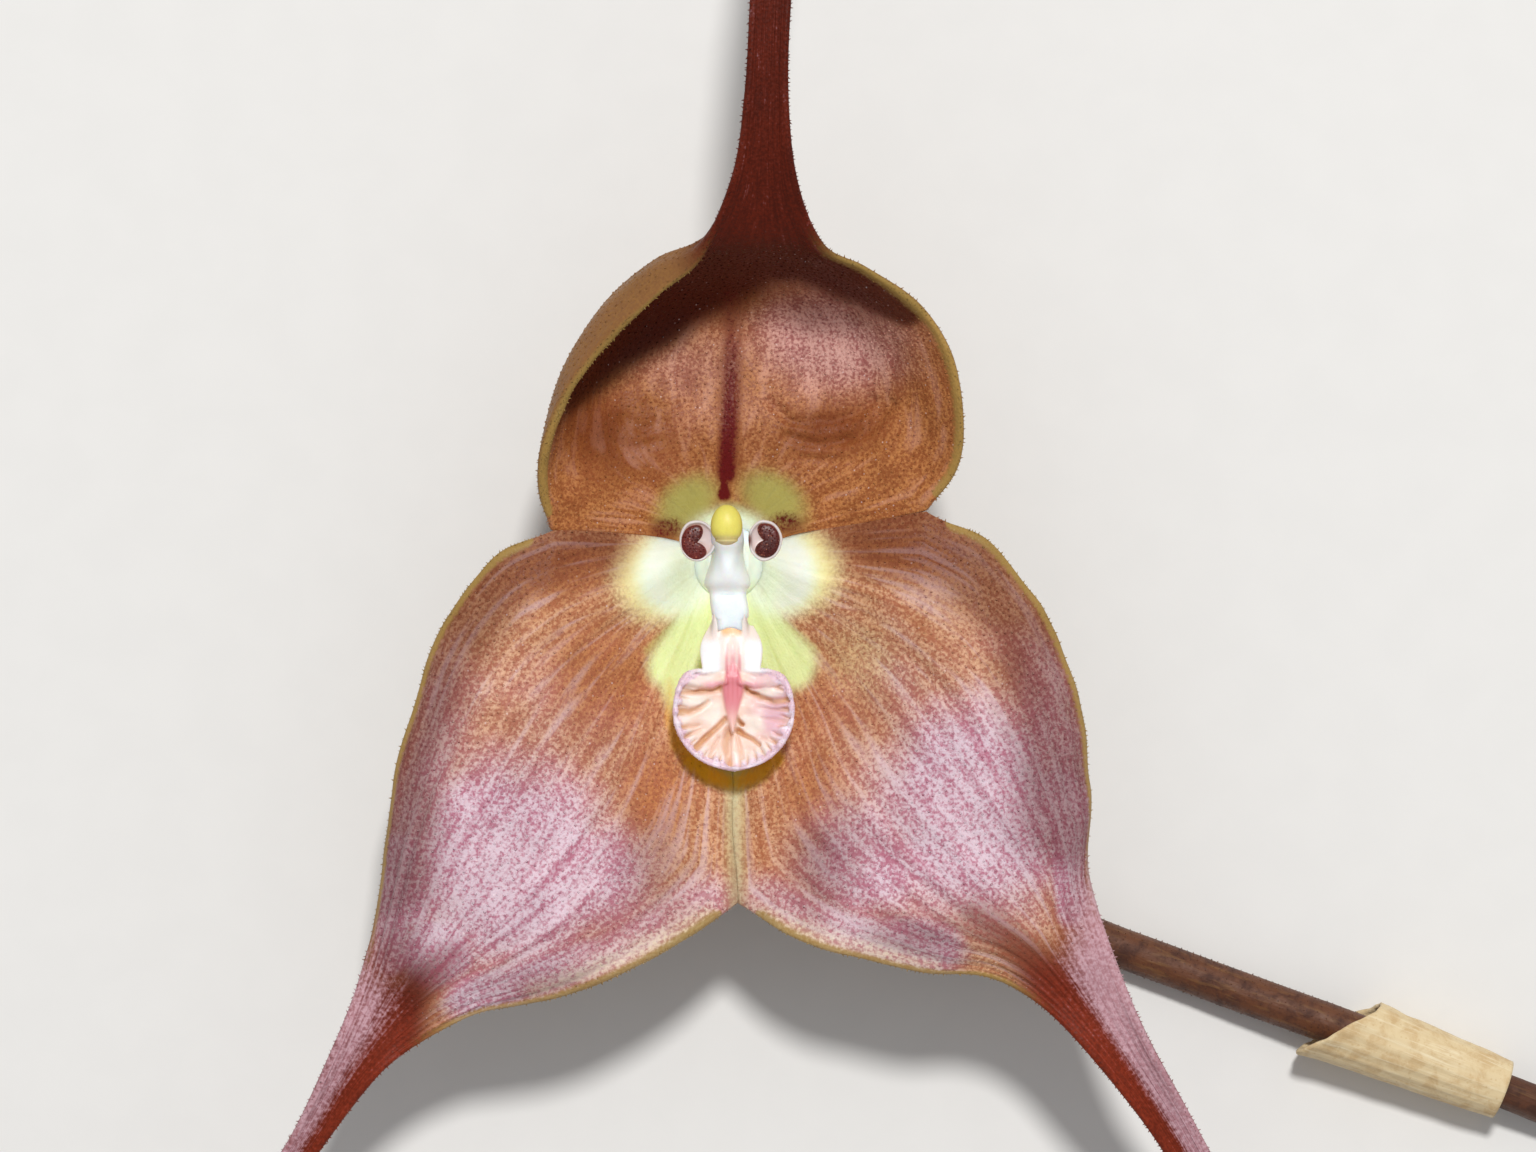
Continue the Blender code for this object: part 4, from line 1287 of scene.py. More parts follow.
DORSAL_ZONES: dict[Zone, tuple[Patch, ...]] = {
    # The first lilac blot and the first pale blot are partly painted light, where the hood's wall faces the
    # lamp
    Zone.LILAC: (
        Blot((4.4, 9.6), (5.8, 3.8), turn=-10.0), Blot((-1.4, 9.0), (5.0, 3.4), 0.45, 0.1, 15.0),
        Blot((0.5, 7.0), (9.0, 6.0), 0.25)),
    Zone.PALE: (Blot((4.2, 10.0), (4.0, 2.4), 0.8, 0.1, -10.0), Blot((0.0, 2.4), (8.0, 1.6), 0.35)),
    # Painted shade in the hood's wrinkles and on its left wall
    Zone.DUSK: (
        Blot((4.6, 6.0), (4.4, 2.1), 0.55, 0.0, 8.0), Blot((-4.0, 5.6), (3.2, 1.6), 0.3, 0.0),
        Blot((-6.2, 6.0), (3.4, 3.8), 0.65, 0.0)),
    # The first deep blot is painted shade in the wrinkles at the hood's right
    Zone.DEEP: (
        Blot((4.6, 5.6), (4.4, 2.0), 0.9, 0.1, 10.0), Blot((-4.6, 5.2), (4.6, 3.4), turn=-10.0),
        Band(((0.3, 9.0), (0.1, 4.6)), (1.1, 1.1), (0.4, 0.6), 0.0)),
    # Painted shadow under the hood's rim and at the tail's base, in dark red over an inside that is partly
    # dark red of its own
    Zone.RED: (
        Blot((1.4, 14.4), (4.0, 3.2), 1.1, 0.5),
        Band(((-8.0, 7.2), (-5.6, 9.6), (-2.4, 11.9), (0.8, 13.8)), (1.6, 3.0), (0.8, 1.1), 0.4),
        Band(((7.8, 11.0), (6.2, 12.2), (3.4, 13.6), (0.8, 13.9)), (1.1, 2.5), (0.8, 1.1), 0.5)),
    Zone.WHITE: (Blot((0.0, 1.1), (2.6, 1.75), 1.0, 0.2),),
    Zone.OLIVE: (
        Blot((-1.8, 2.5), (2.5, 1.8), 1.0, 0.15, 38.0), Blot((2.0, 2.7), (2.6, 1.8), 1.0, 0.15, -34.0),
        Blot((0.0, 1.2), (2.5, 1.9), 0.8, 0.5)),
    Zone.STRIPE: (
        Blot((-2.75, 1.4), (1.1, 0.75), 0.68, 0.3, 8.0), Blot((2.6, 1.65), (1.1, 0.75), 0.68, 0.3, -8.0),
        Band(((0.2, 11.4), (0.15, 9.4), (0.1, 7.2), (-0.05, 4.6), (-0.08, 3.8)), (0.8, 0.62), (0.4, 1.3)),
        Band(((-0.18, 3.7), (-0.2, 2.95)), (0.1, 0.45), (1.0, 1.2), 0.3)),
}
DORSAL_CREASES = (
    Band(((1.9, 7.0), (2.7, 6.2), (3.7, 6.0)), (0.4, 0.35), (0.26, 0.14), 0.0),
    Band(((3.5, 6.35), (4.5, 6.15), (5.6, 6.5), (6.4, 7.1)), (0.35, 0.4), (0.1, 0.24), 0.0),
    Band(((2.6, 5.5), (4.0, 5.1), (5.3, 5.4)), (0.4, 0.35), (0.2, 0.14), 0.0),
    Band(((5.0, 5.2), (6.2, 5.7), (7.2, 6.9)), (0.35, 0.4), (0.12, 0.22), 0.0),
    Band(((3.4, 4.5), (5.0, 4.4), (6.6, 5.0)), (0.35, 0.35), (0.14, 0.08), 0.0),
    Band(((6.6, 6.6), (7.3, 8.0), (7.3, 9.4)), (0.3, 0.3), (0.12, 0.06), 0.0),
    Band(((-4.6, 6.3), (-3.8, 5.8), (-2.8, 6.2)), (0.4, 0.4), (0.14, 0.1), 0.0),
    Band(((-5.6, 5.4), (-4.4, 4.9), (-3.0, 5.3)), (0.4, 0.4), (0.12, 0.1), 0.0),
    Band(((-3.6, 7.0), (-2.8, 6.7), (-1.8, 7.0)), (0.35, 0.35), (0.08, 0.08), 0.0))


@dataclass
class Sepal:
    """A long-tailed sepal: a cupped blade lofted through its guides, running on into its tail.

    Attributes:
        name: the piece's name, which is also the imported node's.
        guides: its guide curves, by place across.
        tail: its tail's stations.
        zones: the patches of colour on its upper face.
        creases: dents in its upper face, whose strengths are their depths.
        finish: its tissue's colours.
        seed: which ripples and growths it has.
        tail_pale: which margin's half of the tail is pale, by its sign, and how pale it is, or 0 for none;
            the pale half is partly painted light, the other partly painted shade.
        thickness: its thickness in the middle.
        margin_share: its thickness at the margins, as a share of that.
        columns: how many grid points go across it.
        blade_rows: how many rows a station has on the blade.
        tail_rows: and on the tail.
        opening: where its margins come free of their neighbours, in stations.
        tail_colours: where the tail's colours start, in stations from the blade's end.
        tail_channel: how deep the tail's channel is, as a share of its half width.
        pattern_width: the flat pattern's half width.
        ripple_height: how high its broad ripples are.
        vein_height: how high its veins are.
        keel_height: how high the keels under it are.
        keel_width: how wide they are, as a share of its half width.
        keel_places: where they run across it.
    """

    name: str
    guides: dict[float, list[Point]]
    tail: list[tuple[float, float, float, float]]
    zones: dict[Zone, tuple[Patch, ...]]
    creases: tuple[Band, ...]
    finish: SepalFinish
    seed: int
    tail_pale: float = 0.0
    thickness: float = 0.8
    margin_share: float = 0.42
    columns: int = 131
    blade_rows: int = 15
    tail_rows: int = 7
    opening: Spot = (NOTCH - 0.15, NOTCH + 0.4)
    tail_colours: Spot = (-1.1, 0.7)
    tail_channel: float = 0.35
    pattern_width: float = 10.0
    ripple_height: float = 0.16
    vein_height: float = 0.07
    keel_height: float = 0.16
    keel_width: float = 0.035
    keel_places: tuple[float, ...] = (-0.72, -0.4, 0.0, 0.4, 0.72)

    def build(self) -> Thing:
        """Build, dress and place the sepal."""
        thing = self.sheet().skin().make_object(self.name)
        material = self.finish.material()
        papillae = Growth("papillae", spacing=0.3, radius=0.075, height=0.06, sides=5, seed=self.seed)
        papillae.grow(thing, material)
        edge = Growth("edge", spacing=0.15, radius=0.05, height=0.16, top_share=0.15, sides=4, tilt=35.0,
                      seed=self.seed + 1)
        edge.grow(thing, material)
        finish_piece(thing, self.name)
        return thing

    def sheet(self) -> Sheet:
        """Lay out the sepal's upper face, its thickness and its colour attributes."""
        places = np.array(sorted(self.guides))
        blade_end = len(self.guides[0.0]) - 1
        blade = np.arange(blade_end * self.blade_rows) / self.blade_rows
        beyond = np.arange(len(self.tail) * self.tail_rows + 1) / self.tail_rows
        stations = np.concatenate([blade, blade_end + beyond])
        ends = self._tail_points(places)
        curves = [smooth_curve(np.array(self.guides[place] + ends[place]), stations,
                               corner=NOTCH if abs(place) == 1 else None) for place in places]
        across = np.stack(curves, axis=1)
        free = ease(*self.opening, stations)
        half_width = np.linalg.norm(across[:, -1] - across[:, 0], axis=-1) / 2
        share = np.linspace(-1.0, 1.0, self.columns)[None, :]
        bulge = self.thickness * self.margin_share / 2
        reach = 1 - free * np.minimum(bulge / half_width, 0.35)
        place = reach[:, None] * share
        top = np.stack([smooth_curve(row, at, places) for row, at in zip(across, place)])
        lengths = np.linalg.norm(np.diff(top[:, self.columns // 2], axis=0), axis=1)
        along = np.concatenate([[0.0], np.cumsum(lengths)])
        pattern = np.stack(np.broadcast_arrays(place * self.pattern_width, along[:, None]), axis=-1)
        start, end = self.tail_colours
        tail = ease(blade_end + start, blade_end + end, stations)
        tail = np.broadcast_to(tail[:, None], place.shape)
        margin = (1 - np.abs(share)) * half_width[:, None] + 3 * (1 - free[:, None])
        keels = sum(bell(place, keel, self.keel_width) for keel in self.keel_places)
        keels = self.keel_height * keels * (1 - tail) * ease(0.9, 0.7, np.abs(place))
        thickness = self.thickness * (1 - (1 - self.margin_share) * np.abs(share) ** 3) + keels
        marks = self._marks(top, place, tail, margin)
        return Sheet(top, thickness, free, marks, pattern, self._relief(pattern, top, tail))

    def _marks(self, top: Array, place: Array, tail: Array, margin: Array) -> dict[str, Array]:
        """The attributes of the upper face, which its colours and its growths follow.

        Args:
            top: the upper face's points.
            place: their places across, from -1 to 1.
            tail: how far they belong to the tail.
            margin: their distance from the nearest free margin.

        Returns:
            An array for each attribute.
        """
        x, y = top[..., 0], top[..., 1]
        marks = {zone.value: strongest(self.zones.get(zone, ()), x, y) for zone in Zone}
        marks["tail"] = tail
        # The pale half of the tail is partly painted light, the red half partly painted shade
        marks["tail_pale"] = tail * ease(-0.5, 0.4, self.tail_pale * place) * abs(self.tail_pale)
        marks["margin"] = margin
        white, channel, olive = (marks[kind.value] for kind in (Zone.WHITE, Zone.CHANNEL, Zone.OLIVE))
        plain = np.maximum.reduce([white, channel, olive, 0.6 * marks[Zone.YELLOW.value]])
        inside = ease(1.2, 2.2, np.hypot(x, y + 2)) * ease(0.1, 0.3, margin)
        marks["papillae"] = inside * (1 - ease(0.6, 0.9, tail)) * (plain < 0.15)
        return marks

    def _relief(self, pattern: Array, top: Array, tail: Array) -> Array:
        """How far the upper face stands above its smooth form."""
        x, y = top[..., 0], top[..., 1]
        broad = Ripple(self.seed, (3.1, 2.7)).at(x + 50, y + 50)
        broad = broad + 0.4 * Ripple(self.seed + 5, (1.3, 1.2)).at(x + 50, y + 50)
        veins = Ripple(self.seed + 7, (0.62, 5.5)).at(pattern[..., 0] + 30, pattern[..., 1])
        veins = veins + 0.4 * Ripple(self.seed + 9, (0.33, 3.0)).at(pattern[..., 0] + 30, pattern[..., 1])
        away = ease(2.0, 6.0, np.hypot(x, y))
        relief = self.ripple_height * broad * away * (1 - 0.8 * tail)
        relief = relief + self.vein_height * veins * (0.3 + 0.7 * away) * (1 - 0.6 * tail)
        for crease in self.creases:
            relief = relief - crease.over(x, y)
        return relief

    def _tail_points(self, places: Array) -> dict[float, list[Point]]:
        """The guide points along the tail, for each place across it."""
        middles = [np.array(self.guides[0.0][-1])] + [np.array(station[:3]) for station in self.tail]
        points: dict[float, list[Point]] = {place: [] for place in places}
        for i, (*_, half_width) in enumerate(self.tail, start=1):
            ahead = middles[min(i + 1, len(middles) - 1)] - middles[i - 1]
            side = unit(np.array([-ahead[1], ahead[0], 0.0]))
            for place in places:
                lift = np.array([0.0, 0.0, self.tail_channel * half_width * place * place])
                points[place].append(tuple(middles[i] + side * place * half_width + lift))
        return points


@dataclass
class Perianth:
    """The three sepals, which meet in a cup round the column."""

    def build(self) -> list[Thing]:
        """Build the sepals."""
        # On the hood, the dark red and the tail's red are partly painted shadow, and the deep brown is partly
        # painted shade in the wrinkles
        hood = SepalFinish("dorsal_sepal_tissue",
                           ground_warm=tint(188, 124, 72), ground_lilac=tint(218, 168, 156),
                           speck_warm=tint(138, 74, 38), speck_lilac=tint(150, 80, 78),
                           deep=tint(132, 70, 26), dusk=tint(190, 150, 112), outside=tint(140, 98, 54),
                           tail=tint(84, 24, 8), red=tint(84, 26, 8), speck_pitch=0.14,
                           streak_cell=(0.7, 2.0), vein_strength=0.2)
        blade = SepalFinish("lateral_sepal_tissue")
        left, right = ({zone: LATERAL_ZONES.get(zone, ()) + own.get(zone, ()) for zone in Zone}
                       for own in (LEFT_ZONES, RIGHT_ZONES))
        return [
            Sepal("dorsal_sepal", DORSAL_GUIDES, DORSAL_TAIL, DORSAL_ZONES, DORSAL_CREASES, hood,
                  seed=11, vein_height=0.03).build(),
            Sepal("left_lateral_sepal", LEFT_GUIDES, LEFT_TAIL, left, (), blade,
                  seed=23, tail_pale=-0.75).build(),
            Sepal("right_lateral_sepal", RIGHT_GUIDES, RIGHT_TAIL, right, (), blade,
                  seed=37, tail_pale=1.0).build(),
        ]


# ---------------------------------------------------------------- column, cap and petals


def spread_stations(stations: Sequence[Sequence[float]], rows: int) -> Array:
    """Stations, each a few numbers, filled in to this many rows along a smooth curve."""
    return smooth_curve(np.array(stations, float), np.linspace(0.0, len(stations) - 1.0, rows))


def stack_ovals(levels: Array, around: int, centre: Spot, half_sizes: Spot,
                wave: Array | float = 1.0) -> Array:
    """Loops of points round ovals stacked on one another.

    Args:
        levels: for each oval, its height and its size as a share of the half sizes.
        around: how many points each has.
        centre: their middle.
        half_sizes: the widest oval's half width and half length.
        wave: a factor on the size for each point round them.

    Returns:
        The loops.
    """
    turns = full_turn(around)
    x = centre[0] + half_sizes[0] * levels[:, 1:] * wave * np.cos(turns)
    y = centre[1] + half_sizes[1] * levels[:, 1:] * wave * np.sin(turns)
    return grid_of(x, y, levels[:, :1])


def rounded_box(turns: Array, squareness: Array) -> tuple[Array, Array]:
    """The x and y, from -1 to 1, of a loop between an oval, at squareness 2, and a box."""
    power = 2.0 / squareness
    across, up = np.cos(turns), np.sin(turns)
    return np.sign(across) * np.abs(across) ** power, np.sign(up) * np.abs(up) ** power


def join_skins(skins: Sequence[Skin]) -> Skin:
    """Several skins as one, with 0 where a skin lacks an attribute.

    Args:
        skins: the skins.

    Returns:
        The joined skin, each part's faces turned outwards.
    """
    names = sorted({name for skin in skins for name in skin.marks})
    points, faces, uv, first = [], [], [], 0
    marks: dict[str, list[Array]] = {name: [] for name in names}
    for skin in skins:
        outward = skin.volume() > 0
        faces += [tuple(first + i for i in (face if outward else reversed(face))) for face in skin.faces]
        points.append(skin.points)
        uv.append(skin.uv)
        for name in names:
            marks[name].append(np.asarray(skin.marks.get(name, np.zeros(len(skin.points)))))
        first += len(skin.points)
    return Skin(np.concatenate(points), faces, {name: np.concatenate(parts) for name, parts in marks.items()},
                np.concatenate(uv))


@dataclass
class Column:
    """The waxy white column: a collar under the cap, hips, a square foot and the cushion below.

    Attributes:
        stations: down its length, each y, half width, top, underside and squareness.
        body_x: the x of its middle.
        foot_x: the x of its foot's middle.
        foot_arch: how far its end is arched.
        hollows: dents in its upper face, each some centres, their half sizes and their depth.
        cushion_levels: up the cushion, each a height and a share of its half sizes.
    """

    stations: tuple[tuple[float, float, float, float, float], ...] = (
        (2.02, 0.30, 10.05, 9.55, 2.0), (1.75, 0.56, 10.22, 9.2, 2.1), (1.3, 0.70, 10.25, 8.7, 2.3),
        (0.8, 0.74, 10.05, 7.7, 2.3), (0.35, 0.71, 9.85, 5.5, 2.3), (0.0, 0.74, 9.75, 5.2, 2.2),
        (-0.45, 0.87, 9.6, 5.2, 2.2), (-0.85, 1.01, 9.4, 5.6, 2.4), (-1.1, 1.02, 9.22, 6.0, 2.6),
        (-1.28, 0.90, 9.02, 6.4, 3.0), (-1.45, 0.82, 8.9, 6.7, 3.6), (-1.7, 0.82, 8.92, 6.9, 4.2),
        (-2.1, 0.84, 8.92, 7.1, 4.4), (-2.5, 0.80, 8.86, 7.3, 4.2), (-2.66, 0.66, 8.84, 7.35, 3.8),
        (-2.9, 0.62, 8.82, 7.4, 3.8), (-3.2, 0.62, 8.78, 7.5, 3.8))
    body_x: float = -0.04
    foot_x: float = 0.1
    foot_arch: float = 0.26
    hollows: tuple[tuple[tuple[Spot, ...], Spot, float], ...] = (
        (((0.0, 0.15),), (0.3, 0.5), 0.14), (((-0.42, -0.3), (0.42, -0.3)), (0.16, 0.5), 0.1),
        (((-0.04, -1.56),), (0.26, 0.045), 0.12), (((0.1, -2.3),), (0.3, 0.5), 0.08))
    rows: int = 110
    around: int = 56
    cushion_centre: Spot = (0.0, -0.1)
    cushion_half_sizes: Spot = (1.46, 1.56)
    cushion_rows: int = 22
    cushion_levels: tuple[Spot, ...] = (
        (4.75, 0.72), (5.1, 0.86), (5.6, 0.95), (5.95, 1.05), (6.1, 1.06), (6.2, 0.97), (6.4, 0.78),
        (6.75, 0.6))

    def build(self) -> Thing:
        """Build, dress and place the column."""
        # The bluish grey on the column's sides and the cushion's grey are painted shade
        finish = WaxyFinish("column_wax", tint(243, 254, 255),
                            (("cool", tint(232, 243, 246)), ("foot", tint(250, 226, 196)),
                             ("shaded", tint(232, 238, 222)), ("green", tint(224, 232, 182))),
                            roughness=0.6, depth=0.0012, glow=0.7)
        thing = join_skins([self.body(), self.cushion()]).make_object("column")
        finish_piece(thing, "column", finish.material(), shadow=False)
        return thing

    def body(self) -> Skin:
        """Loft the column's body."""
        y, half_width, top, under, squareness = spread_stations(self.stations, self.rows).T[:, :, None]
        across, up = rounded_box(full_turn(self.around), np.maximum(squareness, 2.0))
        x = self.body_x + (self.foot_x - self.body_x) * ease(-1.2, -2.6, y) + half_width * across
        z = (top + under) / 2 + (top - under) / 2 * up
        y = y + self.foot_arch * ease(-2.6, -3.2, y) * (1 - across**2)
        upper = ease(0.0, 0.5, up)
        for centres, half_sizes, depth in self.hollows:
            z = z - upper * depth * sum(dent(x, y, centre, half_sizes) for centre in centres)
        z = z + 0.02 * Ripple(3, (0.3, 0.3)).at(x + 9, y + 9)
        skin = ring_skin(grid_of(x, y, z))
        x, y = skin.points[:, 0], skin.points[:, 1]
        sides = (dent(x, y, (side, -0.1), (0.25, 0.5)) for side in (-0.5, 0.5))
        # Painted shade: bluish grey on the sloping sides of the neck
        skin.marks["cool"] = 0.9 * np.maximum(*sides)
        skin.marks["foot"] = ease(-2.95, -3.2, y)
        return skin

    def cushion(self) -> Skin:
        """Loft the cushion that joins the column, the sepals and the ovary."""
        levels = spread_stations(self.cushion_levels, self.cushion_rows)
        skin = ring_skin(stack_ovals(levels, self.around, self.cushion_centre, self.cushion_half_sizes))
        skin.marks["shaded"] = 0.9 * ease(1.2, 0.4, skin.points[:, 1])
        skin.marks["green"] = ease(-0.4, -1.4, skin.points[:, 1]) * 0.7
        return skin


@dataclass
class AntherCap:
    """The yellow egg-shaped cap over the column's tip, paler where it meets the column."""

    centre: Point = (-0.06, 1.54, 10.62)
    radii: Point = (0.7, 0.89, 0.56)
    rows: int = 52
    around: int = 56

    def build(self) -> Thing:
        """Build, dress and place the cap."""
        finish = WaxyFinish("cap_wax", tint(230, 218, 104),
                            (("pale", tint(222, 206, 150)), ("seam", tint(190, 168, 92))),
                            mottle=0.1, grain=0.09, relief=0.008, roughness=0.42)
        thing = self.skin().make_object("anther_cap")
        finish_piece(thing, "anther_cap", finish.material(), shadow=False)
        return thing

    def skin(self) -> Skin:
        """Loft the cap from its top to its lower rim."""
        fall = np.linspace(0.05, math.pi - 0.05, self.rows)[:, None]
        turns = full_turn(self.around)
        egg = np.sin(fall) ** 0.94 * (1.0 - 0.05 * np.cos(fall))
        rim = 0.05 * bell(fall, 2.5, 0.1) - 0.06 * bell(fall, 2.3, 0.12)
        furrow = 0.05 * bell(np.cos(turns), 0.0, 0.13) * (np.sin(turns) > 0) * ease(1.2, 2.2, fall)
        size = egg + rim - furrow * np.sin(fall)
        skin = ring_skin(grid_of(self.centre[0] + self.radii[0] * size * np.cos(turns),
                                 self.centre[1] + self.radii[1] * np.cos(fall),
                                 self.centre[2] + self.radii[2] * size * np.sin(turns)))
        drop = (self.centre[1] - skin.points[:, 1]) / self.radii[1]
        skin.marks["pale"] = ease(0.25, 0.95, drop)
        skin.marks["seam"] = bell(drop, 0.7, 0.05) * 0.7
        return skin


class Side(Enum):
    """Which side of the column a petal stands on."""

    LEFT = -1
    RIGHT = 1


@dataclass
class Petal:
    """A small petal: a white claw that widens into a rimmed disc, with a warty kidney-shaped pad in it.

    Attributes:
        side: the side of the column it stands on.
        centre: its disc's middle.
        half_sizes: its disc's half width and half length.
        pad_centre: the pad's middle.
        pad_half_sizes: the pad's half width and half length.
        notch_turn: the direction in which the pad's notch opens, in degrees.
        stain: how dark the disc's inner edge is.
        levels: up the claw and over the rim, each a height and a share of the half sizes.
        pad_levels: the same for the pad.
    """

    side: Side
    centre: Spot
    half_sizes: Spot
    pad_centre: Spot
    pad_half_sizes: Spot
    notch_turn: float
    stain: float = 0.0
    levels: tuple[Spot, ...] = (
        (6.75, 0.26), (7.4, 0.28), (8.1, 0.36), (8.55, 0.55), (8.9, 0.85), (9.15, 0.98),
        (9.35, 1.0), (9.45, 0.94), (9.41, 0.86), (9.29, 0.78), (9.23, 0.5), (9.21, 0.2))
    rows: int = 64
    pad_levels: tuple[Spot, ...] = (
        (9.15, 0.98), (9.3, 1.0), (9.41, 0.96), (9.48, 0.86), (9.52, 0.6), (9.53, 0.2))
    pad_rows: int = 26
    notch_depth: float = 0.84
    notch_width: float = 0.56
    around: int = 72

    def build(self) -> list[Thing]:
        """Build, dress and place the petal's two parts."""
        name = f"{self.side.name.lower()}_petal"
        rim = self.disc().make_object(name)
        wax = WaxyFinish("petal_rim_wax", tint(228, 218, 214),
                         (("blush", tint(212, 182, 176)), ("stain", tint(104, 52, 44))), depth=0.0008)
        finish_piece(rim, name, wax.material(), shadow=False)
        pad = self.pad().make_object(f"{name}_pad")
        # The pad's pale flecks are painted glints, partly lighter speckle of its own
        dark = WaxyFinish("petal_pad_skin", tint(98, 32, 26), (("pad_edge", tint(160, 92, 68)),), mottle=0.5,
                          grain=0.12, relief=0.02, roughness=0.36, depth=0.0002, ragged=0.6, flecks=0.7,
                          fleck=tint(196, 122, 96))
        warts = Growth("warty", spacing=0.11, radius=0.07, height=0.1, top_share=0.4, sides=6, tilt=25.0,
                       seed=5 + self.side.value)
        warts.grow(pad, dark.material())
        finish_piece(pad, name, shadow=False)
        return [rim, pad]

    def disc(self) -> Skin:
        """Loft the claw and the rimmed disc."""
        levels = spread_stations(self.levels, self.rows)
        turns = full_turn(self.around)
        wave = 1 + 0.022 * np.sin(3 * turns + 1) + 0.008 * np.sin(7 * turns + self.side.value)
        loops = stack_ovals(levels, self.around, self.centre, self.half_sizes, wave)
        loops[..., 2] += 0.03 * np.sin(3 * turns + 2) * ease(8.95, 9.35, levels[:, :1])
        skin = ring_skin(loops)
        x, y, z = skin.points.T
        reach = np.hypot((x - self.centre[0]) / self.half_sizes[0], (y - self.centre[1]) / self.half_sizes[1])
        skin.marks["blush"] = 0.5 * ease(0.95, 0.75, reach) * ease(9.05, 9.25, z)
        inner_edge = self.centre[0] - self.side.value * self.half_sizes[0] * 0.96
        skin.marks["stain"] = self.stain * dent(x, y, (inner_edge, self.centre[1]), (0.15, 0.36))
        return skin

    def pad(self) -> Skin:
        """Loft the kidney-shaped pad, with its attributes `warty` and `pad_edge`."""
        levels = spread_stations(self.pad_levels, self.pad_rows)
        turns = full_turn(self.around)[0]
        notch = math.radians(self.notch_turn)
        off = (turns - notch + math.pi) % (2 * math.pi) - math.pi
        reach = 1 - self.notch_depth * bell(off, 0.0, self.notch_width) + 0.07 * bell(np.abs(off), 0.85, 0.4)
        heart = np.array([-0.3 * math.cos(notch), -0.3 * math.sin(notch)])
        outline = np.stack([reach * np.cos(turns), reach * np.sin(turns)], axis=-1)
        loops = heart + (outline[None] - heart) * levels[:, 1][:, None, None]
        skin = ring_skin(grid_of(self.pad_centre[0] + self.pad_half_sizes[0] * loops[..., 0],
                                 self.pad_centre[1] + self.pad_half_sizes[1] * loops[..., 1], levels[:, :1]))
        share = np.concatenate([np.repeat(levels[:, 1], self.around), [0.0, 0.0]])
        height = skin.points[:, 2]
        skin.marks["warty"] = ((height > 9.35) & (share < 0.9)).astype(float)
        skin.marks["pad_edge"] = ease(0.93, 1.0, share) * ease(9.47, 9.35, height)
        return skin


# ---------------------------------------------------------------- lip


